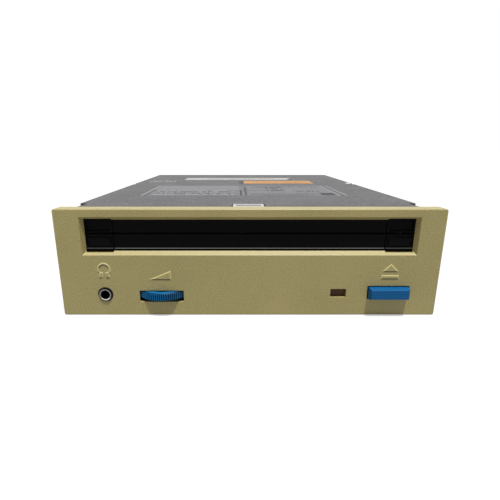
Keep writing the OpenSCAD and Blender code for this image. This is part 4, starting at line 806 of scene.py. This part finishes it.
def headband():
    """A short line spun about the middle of the head."""
    middle = on_face(EARS_X, EARS_Z)
    band = start_plate(ARCH_START, EARS_X + ARCH_R, EARS_Z)
    choose_points(band, lambda points: [v for v in points if v.co.z > EARS_Z * MM])
    bpy.ops.mesh.delete(type="VERT")
    bpy.ops.mesh.select_all(action="SELECT")
    turn(-ARCH_DIP, middle)
    sweep = math.radians(180 + 2 * ARCH_DIP)
    bpy.ops.mesh.spin(steps=ARCH_STEPS, angle=sweep, center=middle, axis=(0, 1, 0))
    bpy.ops.mesh.select_all(action="SELECT")
    bpy.ops.mesh.remove_doubles(threshold=0.01 * MM)
    bpy.ops.transform.resize(value=(1, 1, ARCH_RISE), center_override=middle)
    leave_edit()
    face_front(band)
    raise_plate(band)
    return band


def ear_cup(side):
    x, z = EARS_X + side * CUP_OUT, EARS_Z - CUP_DROP
    cup = start_plate(CUP_SIZE, x, z)
    edit(cup)
    bpy.ops.mesh.bevel(offset=CUP_CORNER * MM, segments=CUP_STEPS, affect="VERTICES")
    bpy.ops.mesh.select_all(action="SELECT")
    turn(side * CUP_TILT, on_face(x, z))
    leave_edit()
    face_front(cup)
    raise_plate(cup)
    return cup


def headphone_symbol():
    whole = join([headband(), ear_cup(-1), ear_cup(1)], "headphone_symbol")
    seat(whole, "body", SYMBOL)


def eject_symbol():
    arrow = start_plate(ARROW_SIZE, EJECT_X, ARROW_Z)
    drop_corner(arrow, lambda points: min(points, key=lambda v: v.co.z + v.co.x))
    edit(arrow)
    turn(45, on_face(EJECT_X, ARROW_Z))
    leave_edit()
    raise_plate(arrow)
    bar = start_plate(BAR_SIZE, EJECT_X, BAR_Z)
    raise_plate(bar)
    seat(join([arrow, bar], "eject_symbol"), "body", SYMBOL)


volume_symbol()
headphone_symbol()
eject_symbol()


# Labels and print on the lid: each place is its ends across the drive, then its front and back
# measured from the bezel's face, in millimetres
LABEL_THICK = 0.07
LABEL_EDGE = 0.02
STRIP_AT = (-43.8, 36.0, 152.5, 171.5)
ORANGE_AT = (-3.2, 47.0, 122, 144)
PANEL_AT = (-53.6, 51.6, 53, 106)
DASH_SCALE = 700
DASH_LEVEL = 0.48
ROW_JUMP, ROW_START = 7.31, 0.5
LINE_SHARE = 0.5
INK, RULE, GREY = (54, 54, 57), (78, 78, 81), (110, 110, 113)
PALE, BRIGHT = (116, 116, 119), (136, 136, 138)


def patch_mask(tree, left, right, front, back):
    x, y, _ = axes(tree)
    along = between(tree, y, front + FACE_Y, back + FACE_Y)
    return both(tree, between(tree, x, left, right), along)


def dash_mask(tree, place, pitch, seed):
    """Rows of short dashes, as faint print."""
    x, y, _ = axes(tree)
    row = maths(tree, "DIVIDE", y, pitch * MM)
    step = maths(tree, "FLOOR", row)
    line = below(tree, maths(tree, "SUBTRACT", row, step), LINE_SHARE)
    spot = tree.nodes.new("ShaderNodeCombineXYZ")
    tree.links.new(maths(tree, "MULTIPLY", x, DASH_SCALE), spot.inputs[0])
    tree.links.new(maths(tree, "MULTIPLY_ADD", step, ROW_JUMP, ROW_START), spot.inputs[1])
    spot.inputs[2].default_value = seed
    dots = tree.nodes.new("ShaderNodeTexNoise")
    dots.inputs["Scale"].default_value = 1.0
    tree.links.new(spot.outputs[0], dots.inputs["Vector"])
    dash = above(tree, dots.outputs["Fac"], DASH_LEVEL)
    return both(tree, both(tree, line, dash), patch_mask(tree, *place))


def block(ink, *place):
    return lambda tree: patch_mask(tree, *place), ink


def rows(ink, *place, pitch, seed):
    return lambda tree: dash_mask(tree, place, pitch, seed), ink


def label(name, place, finish, slot, corner=1.0):
    left, right, front, back = place
    middle = ((left + right) / 2 * MM, ((front + back) / 2 + FACE_Y) * MM, LID_Z * MM)
    deselect_all()
    bpy.ops.mesh.primitive_plane_add(size=1, location=middle)
    sheet = bpy.context.object
    sheet.name = name
    sheet.scale = ((right - left) * MM, (back - front) * MM, 1)
    settle(sheet)
    edit(sheet)
    bpy.ops.mesh.bevel(offset=corner * MM, segments=3, affect="VERTICES")
    bpy.ops.mesh.select_all(action="SELECT")
    bpy.ops.mesh.extrude_region_move(TRANSFORM_OT_translate={"value": (0, 0, LABEL_THICK * MM)})
    bpy.ops.mesh.select_all(action="SELECT")
    bpy.ops.mesh.normals_make_consistent(inside=False)
    leave_edit()
    round_edges(sheet, LABEL_EDGE, steps=1)
    seat(sheet, "body", finish)


STRIP = surface(
    "white strip label", MOULDED, (148, 146, 142), (176, 174, 170),
    rough=(0.5, 0.65), grain=900, patch=60, relief=(0.1, 0.01), specular=0.2,
    marks=[
        rows((112, 110, 108), -28, 24, 155, 168, pitch=4.0, seed=2.0),
        block(INK, 33.5, 36, 152.5, 161),
    ],
)
ORANGE = surface(
    "orange label", MOULDED, (162, 116, 66), (188, 138, 82),
    rough=(0.5, 0.65), grain=900, patch=50, relief=(0.1, 0.01), specular=0.2,
    marks=[
        block(INK, -3.2, 0, 122, 144),
        rows((128, 100, 68), 26, 44, 124, 142, pitch=5.0, seed=5.0),
        rows((150, 106, 60), 6, 24, 124, 142, pitch=6.5, seed=6.0),
    ],
)
PANEL = surface(
    "printed panel", ROLLED, (86, 86, 88), (120, 120, 122),
    rough=(0.55, 0.7), grain=900, patch=45, relief=(0.1, 0.01), metal=0.2, specular=0.15,
    marks=[
        block(PALE, -51, -3.6, 80, 104),
        block(GREY, 1.5, 46.5, 66, 104),
        rows(BRIGHT, -49, -6, 55, 79, pitch=6.0, seed=1.0),
        rows(RULE, -47, -8, 57, 76, pitch=8.0, seed=7.0),
        rows(RULE, 3, 44, 93, 103, pitch=5.0, seed=3.0),
        block(RULE, 2, 22, 78, 80),
        rows(INK, 12, 22, 74, 100, pitch=9.0, seed=4.0),
        rows(INK, 26, 42, 72, 79, pitch=7.0, seed=8.0),
        block(RULE, 3, 36, 58, 60.5),
        block(INK, 38.7, 46.1, 55, 65),
        block(BRIGHT, -53.6, -52.4, 53, 106),
        block(INK, -52.0, -51.2, 53, 84),
        block(INK, -3.2, -2.2, 55, 80),
        block(INK, -0.6, 0.4, 55, 97),
        block(BRIGHT, 46.9, 47.7, 53, 104),
        block(BRIGHT, 50.2, 51.0, 53, 104),
        block(RULE, 48.2, 49.8, 53, 104),
    ],
)
COVER = surface(
    "cover sheet", ROLLED, (71, 71, 72), (106, 106, 107),
    rough=(0.55, 0.7), grain=900, patch=45, relief=(0.25, 0.03), metal=0.25, specular=0.15,
    marks=[
        rows((150, 150, 152), -67, -48, 133, 148, pitch=9.0, seed=9.0),
        # painted shade along the lid's front, where it meets the bezel
        block((62, 62, 63), -73, 73, 0, 16.8),
        # painted highlight on the lid's right edge
        block((226, 226, 226), 69.4, 71.8, 122, 128),
    ],
)
finished("top_cover", 0.12, finish=COVER)
label("strip_label", STRIP_AT, STRIP, "cream_plastic")
label("orange_label", ORANGE_AT, ORANGE, "cream_plastic")
label("printed_panel", PANEL_AT, PANEL, "zinc_sheet", corner=1.6)


# Cross recesses in the heads of the cover screws, in millimetres and radians
CROSS_ARM, CROSS_REACH = 0.55, 0.75
HEAD_RISE = 0.5
UPRIGHT = math.radians(90)
SIDE_SCREWS = [
    ((side * (SIDE_X + HEAD_RISE), y, 34.6), (UPRIGHT, 0.4, UPRIGHT))
    for side in (-1, 1)
    for y in (-57.025, 17.975, 92.975)
]
REAR_SCREWS = [((x, REAR_Y + HEAD_RISE, 37.3), (UPRIGHT, 0.5, 0)) for x in (-55, 55)]
FOOT_SCREWS = [((x, y, 0), (0, 0, 0.3)) for x in (-66, 66) for y in (-78.025, 107.075)]


def cross_cutter():
    deselect_all()
    bpy.ops.mesh.primitive_cube_add(size=CROSS_ARM * MM)
    cutter = bpy.context.object
    pick(cutter)
    bpy.ops.object.mode_set(mode="EDIT")
    bpy.ops.mesh.select_mode(type="FACE")
    leave_edit()
    for face in cutter.data.polygons:
        face.select = abs(face.normal.z) < 0.5
    bpy.ops.object.mode_set(mode="EDIT")
    bpy.ops.mesh.extrude_faces_move(TRANSFORM_OT_shrink_fatten={"value": CROSS_REACH * MM})
    leave_edit()
    return cutter


def cut_crosses(piece, places):
    cutter = cross_cutter()
    for spot, angles in places:
        cutter.location = [value * MM for value in spot]
        cutter.rotation_euler = angles
        bpy.context.view_layer.update()
        recess = piece.modifiers.new("cross recess", "BOOLEAN")
        recess.operation = "DIFFERENCE"
        recess.solver = "EXACT"
        recess.object = cutter
        apply_all(piece)
    bpy.data.objects.remove(cutter)


cut_crosses(finished("cover_screws", 0.06), SIDE_SCREWS + REAR_SCREWS)
cut_crosses(finished("bottom_cover_screws", 0.02), FOOT_SCREWS)

# The nodes that nothing replaces
for name, node in NODES.items():
    if not node.hide_render:
        for place in node.material_slots:
            place.material = FINISH[SLOT_OF[name]]


# Floor, light and camera
WHITE = (1, 1, 1, 1)
FLOOR_SIZE, FLOOR_GREY, FLOOR_GLOW = 8, (0.38, 0.38, 0.38, 1), 0.5
SKY_LEVEL = 0.27
LAMP_LEVEL, LAMP_WIDTH = 4.1, 6
LAMP_LEAN, LAMP_SIDE = 13, 5
LENS_LENGTH, FILM_WIDTH = 28.113, 36
SHIFT_X, SHIFT_Y = 0.02728, 0.02082
CAMERA_X, CAMERA_AHEAD, CAMERA_Z, CAMERA_DIP = -5.095, 144.567, 64.612, 16.129


def seen_directly(tree):
    """Picks what the camera sees, also in a gloss or through glass."""
    path = tree.nodes.new("ShaderNodeLightPath").outputs
    mirrored = either(tree, path["Is Glossy Ray"], path["Is Transmission Ray"])
    return either(tree, path["Is Camera Ray"], mirrored)


def pale_floor():
    deselect_all()
    bpy.ops.mesh.primitive_plane_add(size=FLOOR_SIZE, location=(0, 0, start_low[2]))
    floor = bpy.context.object
    floor.name = "studio floor"
    material, tree, shader = new_material("pale floor")
    shader.inputs["Base Color"].default_value = FLOOR_GREY
    shader.inputs["Roughness"].default_value = 0.9
    shader.inputs["Specular IOR Level"].default_value = 0.0
    glow = tree.nodes.new("ShaderNodeEmission")
    glow.inputs["Color"].default_value = WHITE
    level = maths(tree, "MULTIPLY", seen_directly(tree), FLOOR_GLOW)
    tree.links.new(level, glow.inputs["Strength"])
    lit = tree.nodes.new("ShaderNodeAddShader")
    tree.links.new(shader.outputs["BSDF"], lit.inputs[0])
    tree.links.new(glow.outputs["Emission"], lit.inputs[1])
    tree.links.new(lit.outputs["Shader"], tree.nodes["Material Output"].inputs["Surface"])
    paint(floor, material)


def white_surroundings():
    world = bpy.data.worlds.new("studio")
    bpy.context.scene.world = world
    world.use_nodes = True
    tree = world.node_tree
    soft = tree.nodes["Background"]
    soft.inputs["Color"].default_value = WHITE
    soft.inputs["Strength"].default_value = SKY_LEVEL
    white = tree.nodes.new("ShaderNodeBackground")
    white.inputs["Color"].default_value = WHITE
    white.inputs["Strength"].default_value = 1.0
    choose = tree.nodes.new("ShaderNodeMixShader")
    tree.links.new(seen_directly(tree), choose.inputs[0])
    tree.links.new(soft.outputs["Background"], choose.inputs[1])
    tree.links.new(white.outputs["Background"], choose.inputs[2])
    tree.links.new(choose.outputs["Shader"], tree.nodes["World Output"].inputs["Surface"])


def high_lamp():
    lamp = bpy.data.lights.new("high soft lamp", "SUN")
    lamp.energy = LAMP_LEVEL
    lamp.angle = math.radians(LAMP_WIDTH)
    high = bpy.data.objects.new("high soft lamp", lamp)
    bpy.context.scene.collection.objects.link(high)
    high.rotation_euler = (math.radians(LAMP_LEAN), math.radians(LAMP_SIDE), 0)


def camera_in_front():
    lens = bpy.data.cameras.new("camera")
    lens.lens = LENS_LENGTH
    lens.sensor_width = FILM_WIDTH
    lens.shift_x = SHIFT_X
    lens.shift_y = SHIFT_Y
    lens.clip_start = 0.005
    camera = bpy.data.objects.new("camera", lens)
    bpy.context.scene.collection.objects.link(camera)
    camera.location = (CAMERA_X * MM, (FACE_Y - CAMERA_AHEAD) * MM, CAMERA_Z * MM)
    camera.rotation_euler = (math.radians(90 - CAMERA_DIP), 0, 0)
    bpy.context.scene.camera = camera


pale_floor()
white_surroundings()
high_lamp()
camera_in_front()
bpy.context.scene.view_settings.view_transform = "Standard"
